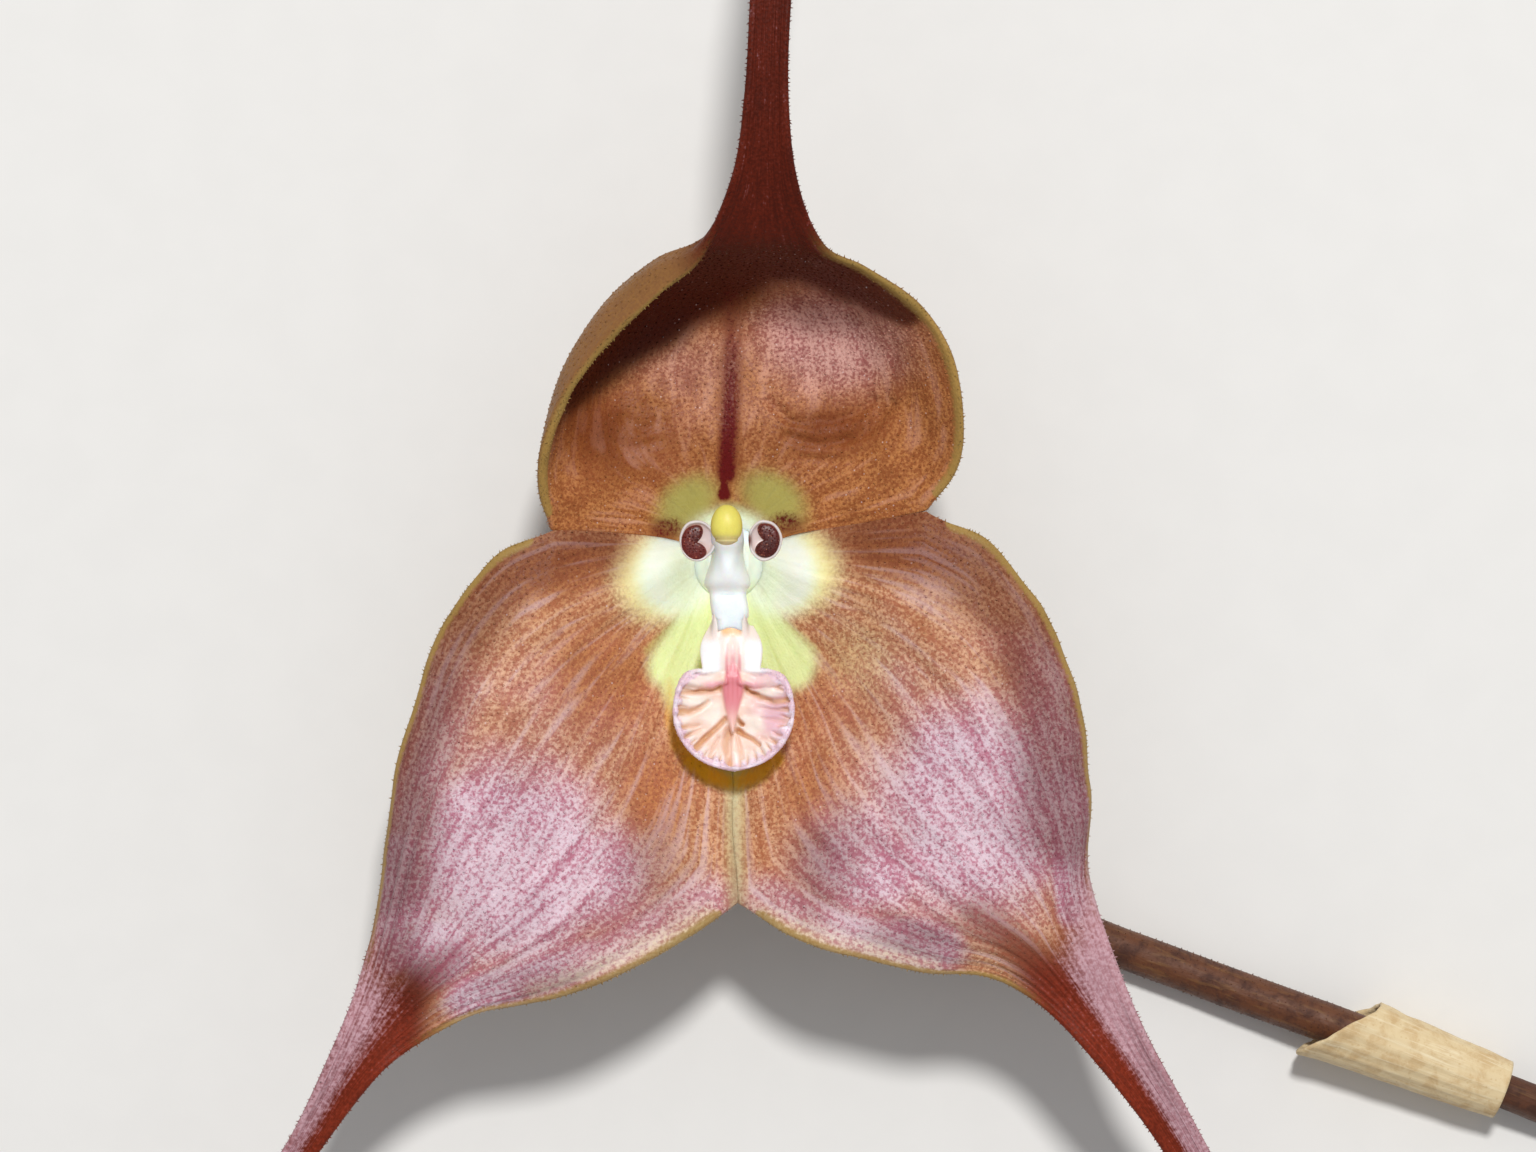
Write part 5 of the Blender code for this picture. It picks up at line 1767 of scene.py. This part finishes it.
@dataclass
class Lip:
    """The lip: a narrow white base with two teeth, and a round dish of branching gills under a pink keel.

    Attributes:
        middle_x: the x of the dish's middle.
        base_x: the x of the base's middle.
        teeth_x: the teeth's x.
        outline: down its length, each y and half width.
        profile: down its length, each y, height of the middle and rise from there to the margin.
        keel: the keel's stations, each x, y and half width.
        shoulders: the rolled folds at the dish's upper edge.
        grooves: the hollows between the gills.
        pale_lobes: the paler gills.
        mauve: where the dish is mauve.
        base_lines: the pink lines down the base, each an x and a half width.
        keel_lines: the x of the dark streaks on the keel.
        streak_width: their half width.
        keel_x: the x of the keel's middle.
        furrow_x: the x of the furrow down the base.
        furrow_depth: how deep it is.
        fan_y: the y of the point in the dish that the margin's nicks fan out from.
        nicks: how many nicks the dish's margin has.
        rim_width: how wide the rolled margin is.
        gill_height: how high the gills stand.
        grain_height: how high the gills' fine unevenness is.
        keel_height: how high the keel stands.
        fold_height: how high the rolled folds stand.
        dish_start: the y at which the base passes into the dish.
    """

    middle_x: float = 0.25
    base_x: float = 0.14
    teeth_x: Spot = (-0.6, 0.72)
    tooth_half_width: float = 0.13
    tooth_height: float = 0.6
    tooth_rise: float = 0.38
    outline: tuple[Spot, ...] = (
        (-2.9, 0.95), (-3.5, 1.24), (-3.95, 1.33), (-4.4, 1.28), (-4.76, 1.2), (-4.92, 1.3), (-5.0, 1.7),
        (-5.14, 2.02), (-5.5, 2.28), (-6.0, 2.43), (-6.5, 2.5), (-7.05, 2.47), (-7.55, 2.32), (-8.0, 2.07),
        (-8.4, 1.73), (-8.75, 1.28), (-8.93, 0.95), (-9.05, 0.62), (-9.12, 0.25))
    profile: Path = (
        (-2.9, 8.55, -0.35), (-3.7, 8.8, -0.4), (-4.25, 8.92, -0.35), (-4.75, 8.85, -0.05),
        (-5.05, 8.72, 0.35), (-5.5, 8.55, 0.75), (-6.2, 8.45, 0.95), (-7.0, 8.45, 0.98),
        (-7.8, 8.55, 0.88), (-8.4, 8.8, 0.62), (-8.8, 9.1, 0.3), (-9.08, 9.36, 0.05))
    keel: Path = (
        (0.12, -4.2, 0.05), (0.18, -4.8, 0.24), (0.22, -5.4, 0.49), (0.2, -5.85, 0.46),
        (0.17, -6.4, 0.35), (0.17, -7.0, 0.22), (0.2, -7.6, 0.07))
    shoulders: tuple[Band, ...] = (
        Band(((-1.85, -5.26), (-1.4, -5.44), (-0.75, -5.48), (-0.25, -5.2)), (0.38, 0.34), (0.8, 1.0)),
        Band(((2.25, -5.22), (1.8, -5.42), (1.2, -5.5), (0.66, -5.24)), (0.38, 0.34), (0.8, 1.0)))
    grooves: tuple[Band, ...] = (
        Band(((-2.1, -5.85), (-1.52, -5.85), (-0.96, -5.71), (-0.34, -5.63)), (0.2, 0.3), (0.55, 1.0)),
        Band(((-1.97, -5.49), (-1.59, -5.53), (-1.24, -5.59)), (0.18, 0.22), (0.4, 0.6)),
        Band(((-2.12, -6.67), (-1.71, -6.69), (-1.26, -6.5), (-0.86, -6.23)), (0.3, 0.18), (0.9, 0.5)),
        Band(((-2.12, -7.38), (-1.71, -7.3), (-1.26, -7.29)), (0.22, 0.12), (0.7, 0.3)),
        Band(((-1.9, -7.73), (-1.52, -7.6), (-1.21, -7.48)), (0.15, 0.12), (0.5, 0.2)),
        Band(((-1.37, -8.2), (-0.86, -7.74), (-0.48, -7.38), (-0.15, -7.05)), (0.22, 0.2), (1.0, 0.8)),
        Band(((-0.83, -8.64), (-0.65, -8.23), (-0.37, -7.85)), (0.18, 0.12), (0.5, 0.25)),
        Band(((0.07, -9.02), (-0.02, -8.55), (-0.08, -8.04), (0.02, -7.63)), (0.24, 0.34), (0.45, 0.7)),
        Band(((0.62, -8.71), (0.45, -8.23), (0.33, -7.79)), (0.18, 0.12), (0.45, 0.3)),
        Band(((1.38, -8.14), (0.91, -7.87), (0.42, -7.59)), (0.18, 0.22), (0.7, 1.0)),
        Band(((2.33, -7.98), (1.89, -7.93), (1.51, -7.85)), (0.18, 0.12), (0.45, 0.2)),
        Band(((0.6, -7.26), (0.38, -6.89)), (0.18, 0.14), (1.1, 0.6)),
        Band(((2.68, -7.11), (2.14, -7.05), (1.51, -6.97)), (0.22, 0.12), (0.5, 0.2)),
        Band(((2.63, -6.62), (2.2, -6.58), (1.38, -6.52)), (0.18, 0.1), (0.55, 0.15)),
        Band(((2.75, -6.16), (2.01, -6.23), (1.38, -6.09), (0.91, -5.85), (0.75, -5.66)), (0.22, 0.24),
             (0.6, 1.0)), Band(((2.05, -5.37), (1.41, -5.57), (0.8, -5.54)), (0.18, 0.22), (0.7, 1.0)),
        Band(((2.39, -5.71), (2.01, -5.61), (1.7, -5.59)), (0.15, 0.12), (0.4, 0.2)))
    pale_lobes: tuple[Blot, ...] = (
        Blot((1.1, -7.3), (0.9, 0.7), 1.0, 0.3), Blot((1.8, -5.85), (0.9, 0.35), 1.0, 0.3),
        Blot((-1.4, -6.15), (0.8, 0.4), 1.0, 0.3), Blot((-0.8, -6.7), (0.8, 0.9), 1.0, 0.3))
    mauve: Blot = Blot((2.3, -6.9), (1.1, 1.5), 0.85, 0.3)
    base_lines: tuple[Spot, ...] = ((-0.07, 0.09), (0.5, 0.09), (0.21, 0.16))
    keel_lines: tuple[float, ...] = (-0.02, 0.2, 0.42)
    streak_width: float = 0.06
    keel_x: float = 0.2
    furrow_x: float = 0.21
    furrow_depth: float = 0.1
    fan_y: float = -6.9
    nicks: int = 34
    rim_width: float = 0.27
    gill_height: float = 0.3
    grain_height: float = 0.16
    keel_height: float = 0.32
    fold_height: float = 0.26
    thickness: float = 0.46
    rows: int = 190
    columns: int = 141
    dish_start: float = -4.86

    def build(self) -> Thing:
        """Build, dress and place the lip."""
        # Painted light and shade on the lip: darker colour in the hollows between the gills, pale glints on
        # the crimped margin, and an orange shadow of the column's foot
        finish = WaxyFinish("lip_tissue", tint(246, 228, 220), (
            ("peach", tint(245, 214, 198)), ("pink", tint(240, 206, 206)), ("lobe", tint(251, 234, 222)),
            ("mauve", tint(228, 186, 196)), ("rim", tint(234, 200, 212)), ("lit_rim", tint(243, 222, 232)),
            ("groove", tint(214, 166, 126)), ("base", tint(252, 250, 252)), ("fold", tint(240, 178, 184)),
            ("line", tint(232, 168, 170)), ("keel", tint(228, 142, 150)), ("streak", tint(214, 106, 118)),
            ("foot", tint(240, 186, 136)), ("under", tint(220, 188, 176))),
            grain=0.07, relief=0.01, roughness=0.36, depth=0.0007, ragged=0.3)
        thing = self.sheet().skin().make_object("lip")
        material = finish.material()
        thing.data.materials.append(material)
        grain = Growth("edge_grain", spacing=0.1, radius=0.035, height=0.04, top_share=0.5, seed=9)
        grain.grow(thing, material)
        finish_piece(thing, "lip")
        return thing

    def sheet(self) -> Sheet:
        """Lay out the lip's upper face, its thickness and its attributes."""
        first, last = self.outline[0][0], self.outline[-1][0]
        step = np.linspace(0.0, 1.0, self.rows)
        crowding = 0.045 * np.sin(math.pi * step) ** 2
        down = first + (last - first) * (step + crowding - 0.12 * step * step * (step - 1))
        outline, profile = np.array(self.outline), np.array(self.profile)
        half_width = smooth_curve(outline[:, 1], -down, -outline[:, 0])
        levels = smooth_curve(profile[:, 1:], -down, -profile[:, 0])
        edge_points = self._edge_points(half_width, down)
        down, half_width = down[:, None], half_width[:, None]
        share = np.linspace(-1.0, 1.0, self.columns)[None, :]
        x = self.base_x + (self.middle_x - self.base_x) * ease(-4.7, -5.5, down) + share * half_width
        tooth = sum(bell(x, place, self.tooth_half_width) for place in self.teeth_x)
        y = down + self.tooth_height * tooth * ease(-3.7, -2.9, down)
        edge = distance_to_path(x, y, edge_points)[0]
        in_dish = ease(self.dish_start + 0.1, self.dish_start - 0.25, y)
        lift = np.where(down < self.dish_start, np.abs(share) ** 2.3, share**2)
        z = levels[:, :1] + levels[:, 1:] * lift + self.tooth_rise * tooth * ease(-3.5, -2.9, down)
        thickness = self.thickness * (1 - 0.5 * np.abs(share) ** 3) * (1 - 0.35 * ease(-8.6, last, y))
        thickness = thickness * (1 - 0.5 * ease(-3.4, -2.9, down))
        marks, relief = self._details(x, y, edge, in_dish)
        pattern = np.stack([x, y], axis=-1)
        return Sheet(grid_of(x, y, z), thickness, np.ones(self.rows), marks, pattern, relief, edge_steps=4)

    def _edge_points(self, half_width: Array, down: Array) -> list[Spot]:
        """The points round the dish's margin, from its left shoulder to its right one."""
        dish = down < self.dish_start
        rows = list(zip(half_width[dish][::3], down[dish][::3]))
        return [(self.middle_x - w, y) for w, y in rows] + [(self.middle_x + w, y) for w, y in rows[::-1]]

    def _details(self, x: Array, y: Array, edge: Array,
                 in_dish: Array) -> tuple[dict[str, Array], Array]:
        """The gills, the keel, the folds and the rolled margin.

        Args:
            x: the grid points' x.
            y: their y.
            edge: their distance from the dish's margin.
            in_dish: how far they belong to the dish.

        Returns:
            The colour attributes, and how far the upper face stands above its smooth form.
        """
        sway = 0.05 * Ripple(4, (0.5, 0.5)).at(x + 20, y + 20)
        hollow = np.minimum(strongest(self.grooves, x + sway, y + sway), 1.0)
        angle = np.arctan2(y - self.fan_y, x - self.middle_x)
        nick = np.abs(np.sin(self.nicks / 2 * angle + 1.2 * Ripple(7, (0.6, 0.6)).at(x + 20, y + 20)))
        nick = 1 - (1 - nick**0.6) * ease(0.6, 0.3, edge) * 0.7
        ridge = (1 - hollow) * nick
        distance, along = distance_to_path(x, y, [(kx, ky) for kx, ky, _ in self.keel])
        keel_width = np.interp(along, np.linspace(0, 1, len(self.keel)), np.array(self.keel)[:, 2])
        reach = distance / np.maximum(keel_width, 0.02)
        keel = ease(1.25, 0.75, reach)
        fold = strongest(self.shoulders, x, y)
        gills = in_dish * ease(0.0, 0.16, edge) * (1 - keel) * ease(-5.15, -5.5, y) * (1 - fold)
        crimp = Ripple(15, (0.32, 0.32)).at(x + 7, y + 7)
        rim = in_dish * ease(self.rim_width + 0.16 * crimp, 0.05, edge)
        seam = in_dish * bell(x, 0.1, 0.05) * ease(-7.3, -7.7, y)
        base_lines = sum(bell(x, place, width) for place, width in self.base_lines)
        base_lines = base_lines * ease(-3.0, -4.9, y) * (1 - in_dish)
        keel_lines = sum(bell(x, place, self.streak_width) for place in self.keel_lines)
        unevenness = 0.5 + 0.5 * Ripple(6, (0.25, 0.25)).at(x + 9, y + 9)
        crown = np.sqrt(np.clip(1 - reach**2 * 0.6, 0, 1))
        relief = self.gill_height * (ridge - 0.8) * gills * (0.6 + 0.8 * unevenness)
        relief = relief + self.grain_height * gills * Ripple(12, (0.75, 0.5)).at(x + 11, y + 11)
        relief = relief + self.keel_height * keel * ease(-4.4, -5.3, y) * crown
        relief = relief + self.fold_height * fold + 0.09 * rim * Ripple(8, (0.24, 0.24)).at(x + 5, y + 5)
        furrow = self.furrow_depth * bell(x, self.furrow_x, 0.22) * (1 - in_dish) * ease(-3.2, -3.8, y)
        relief = relief - furrow - 0.06 * seam
        off_middle = np.abs(x - self.keel_x)
        marks = {
            "peach": in_dish * ease(0.2, 0.7, edge),
            "pink": in_dish * ease(0.3, 1.6, x) * 0.8 * ease(-8.4, -7.4, y),
            "lobe": in_dish * strongest(self.pale_lobes, x, y) * 0.9,
            "mauve": in_dish * self.mauve.over(x, y),
            # Painted shade in the hollows between the gills
            "groove": np.clip(1 - ridge, 0, 1) * gills,
            "rim": rim,
            "lit_rim": rim * ease(0.1, 0.6, crimp) * 0.9,
            "fold": 0.95 * fold * ease(-5.12, -5.4, y) * ease(1.9, 0.9, off_middle),
            "line": 0.95 * base_lines,
            "keel": keel * ease(-4.3, -5.0, y) * (1 - 0.6 * ease(-5.9, -7.3, y)),
            "streak": 0.45 * keel_lines * keel * ease(-4.6, -5.1, y) * ease(-6.8, -5.6, y),
            "base": (1 - in_dish) * ease(0.35, 0.75, off_middle) * ease(-3.2, -3.9, y),
            # Painted shadow of the column's foot on the lip's base
            "foot": 0.9 * ease(-3.6, -3.1, y) * ease(0.6, 0.3, np.abs(x - self.base_x)),
            "edge_grain": (rim > 0.6).astype(float),
        }
        return marks, relief


# ---------------------------------------------------------------- stalks


def tube_loops(path: Sequence[Point], radii: Sequence[float], rows: int, around: int) -> Array:
    """Round loops along the smooth curve through a path, without twist.

    Args:
        path: the middle line's points.
        radii: the radius at each of them.
        rows: how many loops.
        around: how many points in each.

    Returns:
        The loops' points.
    """
    at = np.linspace(0.0, len(path) - 1.0, rows)
    middles = smooth_curve(np.array(path), at)
    radius = smooth_curve(np.array(radii), at)
    ahead = unit(np.gradient(middles, axis=0))
    side = unit(np.cross(ahead[0], [0.0, 0.0, 1.0] if abs(ahead[0][2]) < 0.9 else [1.0, 0.0, 0.0]))
    turns = full_turn(around).T
    loops = []
    for middle, direction, size in zip(middles, ahead, radius):
        side = unit(side - direction * np.dot(side, direction))
        up = np.cross(direction, side)
        loops.append(middle + size * (side * np.cos(turns) + up * np.sin(turns)))
    return np.array(loops)


def swell(loops: Array, amount: Array) -> Array:
    """Loops whose points are moved out from their middles by these shares of the radius."""
    middles = loops.mean(axis=1, keepdims=True)
    return middles + (loops - middles) * (1 + amount)[..., None]


def fold_pattern(skin: Skin) -> None:
    """Make a flat pattern that runs round a tube meet itself at the seam."""
    skin.uv[:, 0] = np.abs(2 * skin.uv[:, 0] - 1)


@dataclass
class Ovary:
    """The ribbed ovary behind the sepals.

    Attributes:
        path: its middle line.
        radii: its radius at each point of the path.
        ribs: how many ribs it has.
        rib_depth: how deep the furrows between them are, as a share of the radius.
        twist: how far the ribs turn round it, in radians.
        lump_height: how high its lumps are, as a share of the radius.
    """

    path: Path = ((0.0, -0.1, 4.8), (0.05, -0.2, 3.9), (0.4, -0.9, 2.6), (1.2, -2.3, 1.8),
                  (2.2, -4.2, 1.45), (3.4, -6.2, 1.25))
    radii: tuple[float, ...] = (1.3, 1.3, 1.35, 1.4, 1.3, 1.0)
    ribs: int = 6
    rib_depth: float = 0.13
    twist: float = 0.9
    lump_height: float = 0.02
    rows: int = 90
    around: int = 72

    def build(self) -> Thing:
        """Build, dress and place the ovary."""
        loops = tube_loops(self.path, self.radii, self.rows, self.around)
        turns = full_turn(self.around)
        along = np.linspace(0.0, 1.0, self.rows)[:, None]
        rib = np.abs(np.cos(self.ribs / 2 * (turns + self.twist * along))) ** 1.5
        ends = ease(0.0, 0.15, along) * ease(1.0, 0.86, along)
        lumps = Ripple(14, (0.7, 0.12)).at(turns * 3 + 9, along + 3) * self.lump_height
        skin = ring_skin(swell(loops, (rib - 0.8) * self.rib_depth * ends + lumps))
        fold_pattern(skin)
        skin.marks["warty"] = np.ones(len(skin.points))
        thing = skin.make_object("ovary")
        finish = StalkFinish("ovary_skin", ground=tint(132, 96, 56), mottles=tint(92, 44, 34),
                             worn=tint(160, 130, 76), streak=(0.1, 1.2))
        warts = Growth("warty", spacing=0.3, radius=0.07, height=0.09, seed=21)
        warts.grow(thing, finish.material())
        finish_piece(thing, "ovary")
        return thing


@dataclass
class Pedicel:
    """The flower's round stalk, which Geometry Nodes sweep along its path, with ridges and warts."""

    path: Path = ((3.6, -6.5, 1.2), (6.2, -9.8, 1.0), (10.5, -13.6, 0.95), (15.0, -16.4, 0.95),
                  (21.4, -18.9, 0.95), (27.8, -21.2, 1.45), (30.6, -22.3, 1.65))
    radius: float = 0.91
    points: int = 60
    steps: int = 150
    around: int = 32
    ridge_height: float = 0.05
    ridge_stretch: Point = (18.0, 0.35, 1.0)
    seed: float = 3.0

    def build(self) -> Thing:
        """Build, dress and place the stalk."""
        middles = smooth_curve(np.array(self.path), np.linspace(0.0, len(self.path) - 1.0, self.points))
        mesh = bpy.data.meshes.new("pedicel")
        mesh.from_pydata(middles.tolist(), [(i, i + 1) for i in range(self.points - 1)], [])
        thing = add_object("pedicel", mesh)
        finish = StalkFinish("stalk_skin", ground=tint(96, 54, 28), mottles=tint(66, 33, 19),
                             worn=tint(122, 84, 46))
        material = finish.material()
        self.tree().apply(thing, {"Radius": self.radius, "Steps": self.steps, "Ridge": self.ridge_height,
                                  "Seed": self.seed, "Material": material})
        warts = Growth("warty", spacing=0.3, radius=0.045, height=0.09, top_share=0.3, sides=4, tilt=30.0,
                       seed=17)
        warts.grow(thing, material)
        finish_piece(thing, "pedicel")
        return thing

    def tree(self) -> Tree:
        """Build the tree that sweeps a ridged circle along the path.

        Returns:
            A tree with the inputs Radius, Steps, Ridge, Seed and Material.
        """
        tree = Tree("pedicel_sweep")
        radius, steps = tree.take("Radius"), tree.take("Steps", "Int")
        ridge, seed, material = tree.take("Ridge"), tree.take("Seed"), tree.take("Material", "Material")
        line = tree.node("GeometryNodeMeshToCurve", {0: tree.entry.outputs["Geometry"]})
        even = tree.node("GeometryNodeResampleCurve", {"Curve": line.outputs[0], "Count": steps})
        length = tree.node("GeometryNodeSplineParameter").outputs["Length"]
        circle = tree.node("GeometryNodeCurvePrimitiveCircle", {"Resolution": self.around, "Radius": radius})
        turn = tree.node("GeometryNodeSplineParameter").outputs["Factor"]
        swept = tree.node("GeometryNodeCurveToMesh",
                          {"Curve": tree.store(even.outputs[0], "along", length),
                           "Profile Curve": tree.store(circle.outputs[0], "around", turn), "Fill Caps": True})
        folded = tree.math("ABSOLUTE", tree.minus(tree.read("around"), 0.5))
        flat = tree.node("ShaderNodeCombineXYZ", {"X": folded, "Y": tree.read("along")}).outputs[0]
        mapped = tree.store(swept.outputs[0], UV_NAME, flat, "FLOAT2", "CORNER")
        stretched = tree.node("ShaderNodeVectorMath", {0: flat, 1: self.ridge_stretch}, operation="MULTIPLY")
        waves = tree.node("ShaderNodeTexNoise",
                          {"Vector": stretched.outputs[0], "W": seed, "Scale": 1.0, "Detail": 3.0},
                          noise_dimensions="4D")
        height = tree.times(tree.minus(waves.outputs[0], 0.5), ridge)
        normal = tree.node("GeometryNodeInputNormal").outputs[0]
        offset = tree.node("ShaderNodeVectorMath", {0: normal, "Scale": height}, operation="SCALE").outputs[0]
        moved = tree.node("GeometryNodeSetPosition", {"Geometry": mapped, "Offset": offset})
        smooth = tree.node("GeometryNodeSetShadeSmooth", {0: tree.store(moved.outputs[0], "warty", 1.0)})
        tree.finish(smooth.outputs[0], material)
        return tree


@dataclass
class Bract:
    """The papery sheath round the stalk's foot: a tapering veined sleeve with a slanting mouth.

    Attributes:
        start: the middle of its mouth.
        end: the middle of its foot.
        radii: its outer radius, at even steps from mouth to foot.
        wall: its thickness.
        mouth_slant: how far its mouth leans.
        mouth_ragged: how ragged the mouth's edge is.
        mouth_flare: how far the mouth opens out.
        veins: half the number of its veins.
        vein_height: how high they are.
        ripple_height: how high its ripples are.
    """

    start: Point = (27.6, -21.15, 1.75)
    end: Point = (35.0, -23.95, 1.6)
    radii: tuple[float, ...] = (1.72, 1.62, 1.56, 1.5, 1.43, 1.36)
    wall: float = 0.2
    mouth_slant: float = 1.4
    mouth_ragged: float = 0.12
    mouth_flare: float = 0.05
    veins: int = 9
    vein_height: float = 0.035
    ripple_height: float = 0.03
    rows: int = 60
    around: int = 96

    def build(self) -> Thing:
        """Build, dress and place the sheath."""
        outer, inner = self._wall(0.0), self._wall(self.wall)
        rounding = (outer[:1] + inner[:1]) / 2 - (outer[1:2] - outer[:1]) * 0.3
        skin = ring_skin(np.concatenate([rounding, outer, inner[::-1]]), wrap=True)
        fold_pattern(skin)
        thing = skin.make_object("floral_bract")
        finish = StalkFinish("bract_paper", ground=tint(214, 192, 150), mottles=tint(196, 166, 120),
                             worn=tint(232, 218, 184), streak=(0.035, 3.0), relief=0.04, roughness=0.62,
                             sheen=0.05)
        finish_piece(thing, "floral_bract", finish.material())
        return thing

    def _wall(self, inset: float) -> Array:
        """The loops of one face of the sleeve, from its mouth to its foot."""
        start, end = np.array(self.start), np.array(self.end)
        along = unit(end - start)
        beside = unit(np.cross(along, [0.0, 0.0, 1.0]))
        upward = np.cross(beside, along)
        share = np.linspace(0.0, 1.0, self.rows)[:, None, None]
        turns = full_turn(self.around)[..., None]
        radius = spread_stations(self.radii, self.rows)[:, None, None] - inset
        veins = self.vein_height * np.abs(np.sin(self.veins * turns)) ** 3
        veins = veins + self.ripple_height * Ripple(31, (0.7, 0.2)).at(turns + 3, share * 2)
        radius = radius + veins * ease(1.0, 0.8, share) + self.mouth_flare * ease(0.12, 0.0, share)
        ragged = self.mouth_ragged * Ripple(33, (0.3, 1.0)).at(turns + 3, 0.0 * turns) * (1 - share)
        lead = (self.mouth_slant * np.cos(turns) + ragged) * (1 - share)
        middle = start + (end - start) * share - along * lead
        return middle + (beside * np.cos(turns) + upward * np.sin(turns)) * radius


@dataclass
class Peduncle:
    """The cut end of the flowering stem, with a joint and a slanting cut face.

    Attributes:
        path: its middle line.
        radius: its radius.
        joint_at: the joint's place, as a share of its length.
        joint_height: how high the joint stands, as a share of the radius.
        joint_width: how wide it is, as a share of the length.
        ribs: how many ribs it has.
        rib_height: how high they are, as a share of the radius.
        lump_height: how high its lumps are, as a share of the radius.
        cut_face: loops across the cut, each a share of the radius and how far it stands out.
    """

    path: Path = ((31.0, -22.45, 1.6), (35.0, -23.95, 1.6), (38.5, -25.4, 1.1), (42.5, -26.9, 0.82),
                  (46.0, -28.1, 0.82))
    radius: float = 0.8
    joint_at: float = 0.5
    joint_height: float = 0.1
    joint_width: float = 0.012
    ribs: int = 7
    rib_height: float = 0.02
    lump_height: float = 0.03
    cut_face: tuple[Spot, ...] = ((0.9, 0.02), (0.72, -0.02), (0.55, 0.03), (0.3, 0.0))
    rows: int = 110
    around: int = 40

    def build(self) -> Thing:
        """Build, dress and place the stem."""
        along = np.linspace(0.0, 1.0, self.rows)[:, None]
        turns = full_turn(self.around)
        loops = tube_loops(self.path, [self.radius] * len(self.path), self.rows, self.around)
        bumps = self.rib_height * np.cos(self.ribs * turns + 2 * along)
        bumps = bumps + self.lump_height * Ripple(41, (0.6, 0.05)).at(turns + 2, along + 1)
        joint = (self.joint_height * bell(along, self.joint_at, self.joint_width)
                 - self.joint_height / 2 * bell(along - self.joint_at, 0.03, self.joint_width))
        loops = swell(loops, bumps + joint - 0.1 * ease(0.985, 1.0, along))
        ahead = unit(loops[-1].mean(axis=0) - loops[-2].mean(axis=0))
        face = [swell(loops[-1:], np.full((1, self.around), share - 1.0)) + ahead * rise
                for share, rise in self.cut_face]
        skin = ring_skin(np.concatenate([loops, *face]))
        fold_pattern(skin)
        cut = np.repeat([0.0, 1.0], [self.rows * self.around, len(face) * self.around])
        skin.marks["cut"] = np.concatenate([cut, [0.0, 1.0]])
        thing = skin.make_object("peduncle")
        finish = StalkFinish("stem_skin", ground=tint(84, 46, 24), mottles=tint(62, 32, 17),
                             worn=tint(108, 74, 38), streak=(0.06, 2.2))
        finish_piece(thing, "peduncle", finish.material())
        return thing


# ---------------------------------------------------------------- studio


@dataclass
class Studio:
    """A pale floor, a key light and soft fill, and the camera looking down into the flower."""

    floor_half_size: float = 1.6
    camera_at: Point = (-0.00104, -0.00095, 0.3)
    lens: float = 154.5
    nearest: float = 0.01
    key_towards: Point = (0.08, 0.43, 0.9)
    key_distance: float = 0.8
    key_size: float = 0.11
    key_power: float = 5.1
    fill: Tint = (0.96, 0.97, 1.0, 1.0)
    fill_strength: float = 0.42

    def build(self) -> None:
        """Build the floor, the lights and the camera."""
        self.build_floor()
        self.build_light()
        scene = bpy.context.scene
        scene.view_settings.view_transform = "Standard"
        camera = bpy.data.cameras.new("camera")
        camera.lens = self.lens
        camera.clip_start = self.nearest
        scene.camera = add_object("camera", camera)
        scene.camera.location = self.camera_at

    def build_floor(self) -> None:
        """Lay the pale floor that the tails and the stalk rest on."""
        size = self.floor_half_size
        mesh = bpy.data.meshes.new("floor")
        corners = [(-size, -size, 0), (size, -size, 0), (size, size, 0), (-size, size, 0)]
        mesh.from_pydata(corners, [], [(0, 1, 2, 3)])
        mesh.materials.append(FloorFinish().material())
        floor = add_object("floor", mesh)

    def build_light(self) -> None:
        """Hang the key light above the dorsal sepal, and fill the rest with soft light."""
        key = bpy.data.lights.new("key", "AREA")
        key.shape = "DISK"
        key.size = self.key_size
        key.energy = self.key_power
        light = add_object("key", key)
        light.location = unit(np.array(self.key_towards)) * self.key_distance
        light.rotation_euler = light.location.to_track_quat("Z", "Y").to_euler()
        world = bpy.data.worlds.new("studio")
        world.use_nodes = True
        background = world.node_tree.nodes["Background"]
        background.inputs["Color"].default_value = self.fill
        background.inputs["Strength"].default_value = self.fill_strength
        bpy.context.scene.world = world


def main() -> None:
    """Build every sub-assembly, then the studio."""
    logging.basicConfig(level=logging.INFO, format="%(message)s")
    petals = (
        Petal(Side.LEFT, centre=(-1.345, 0.86), half_sizes=(0.81, 0.91),
              pad_centre=(-1.45, 0.76), pad_half_sizes=(0.64, 0.79), notch_turn=12.0),
        Petal(Side.RIGHT, centre=(1.63, 0.87), half_sizes=(0.75, 0.91),
              pad_centre=(1.66, 0.86), pad_half_sizes=(0.63, 0.77), notch_turn=172.0, stain=1.0),
    )
    stalk = (Ovary(), Pedicel(), Bract(), Peduncle())
    for assembly in (Perianth(), Column(), AntherCap(), *petals, Lip(), *stalk, Studio()):
        assembly.build()


if __name__ == "__main__":
    main()
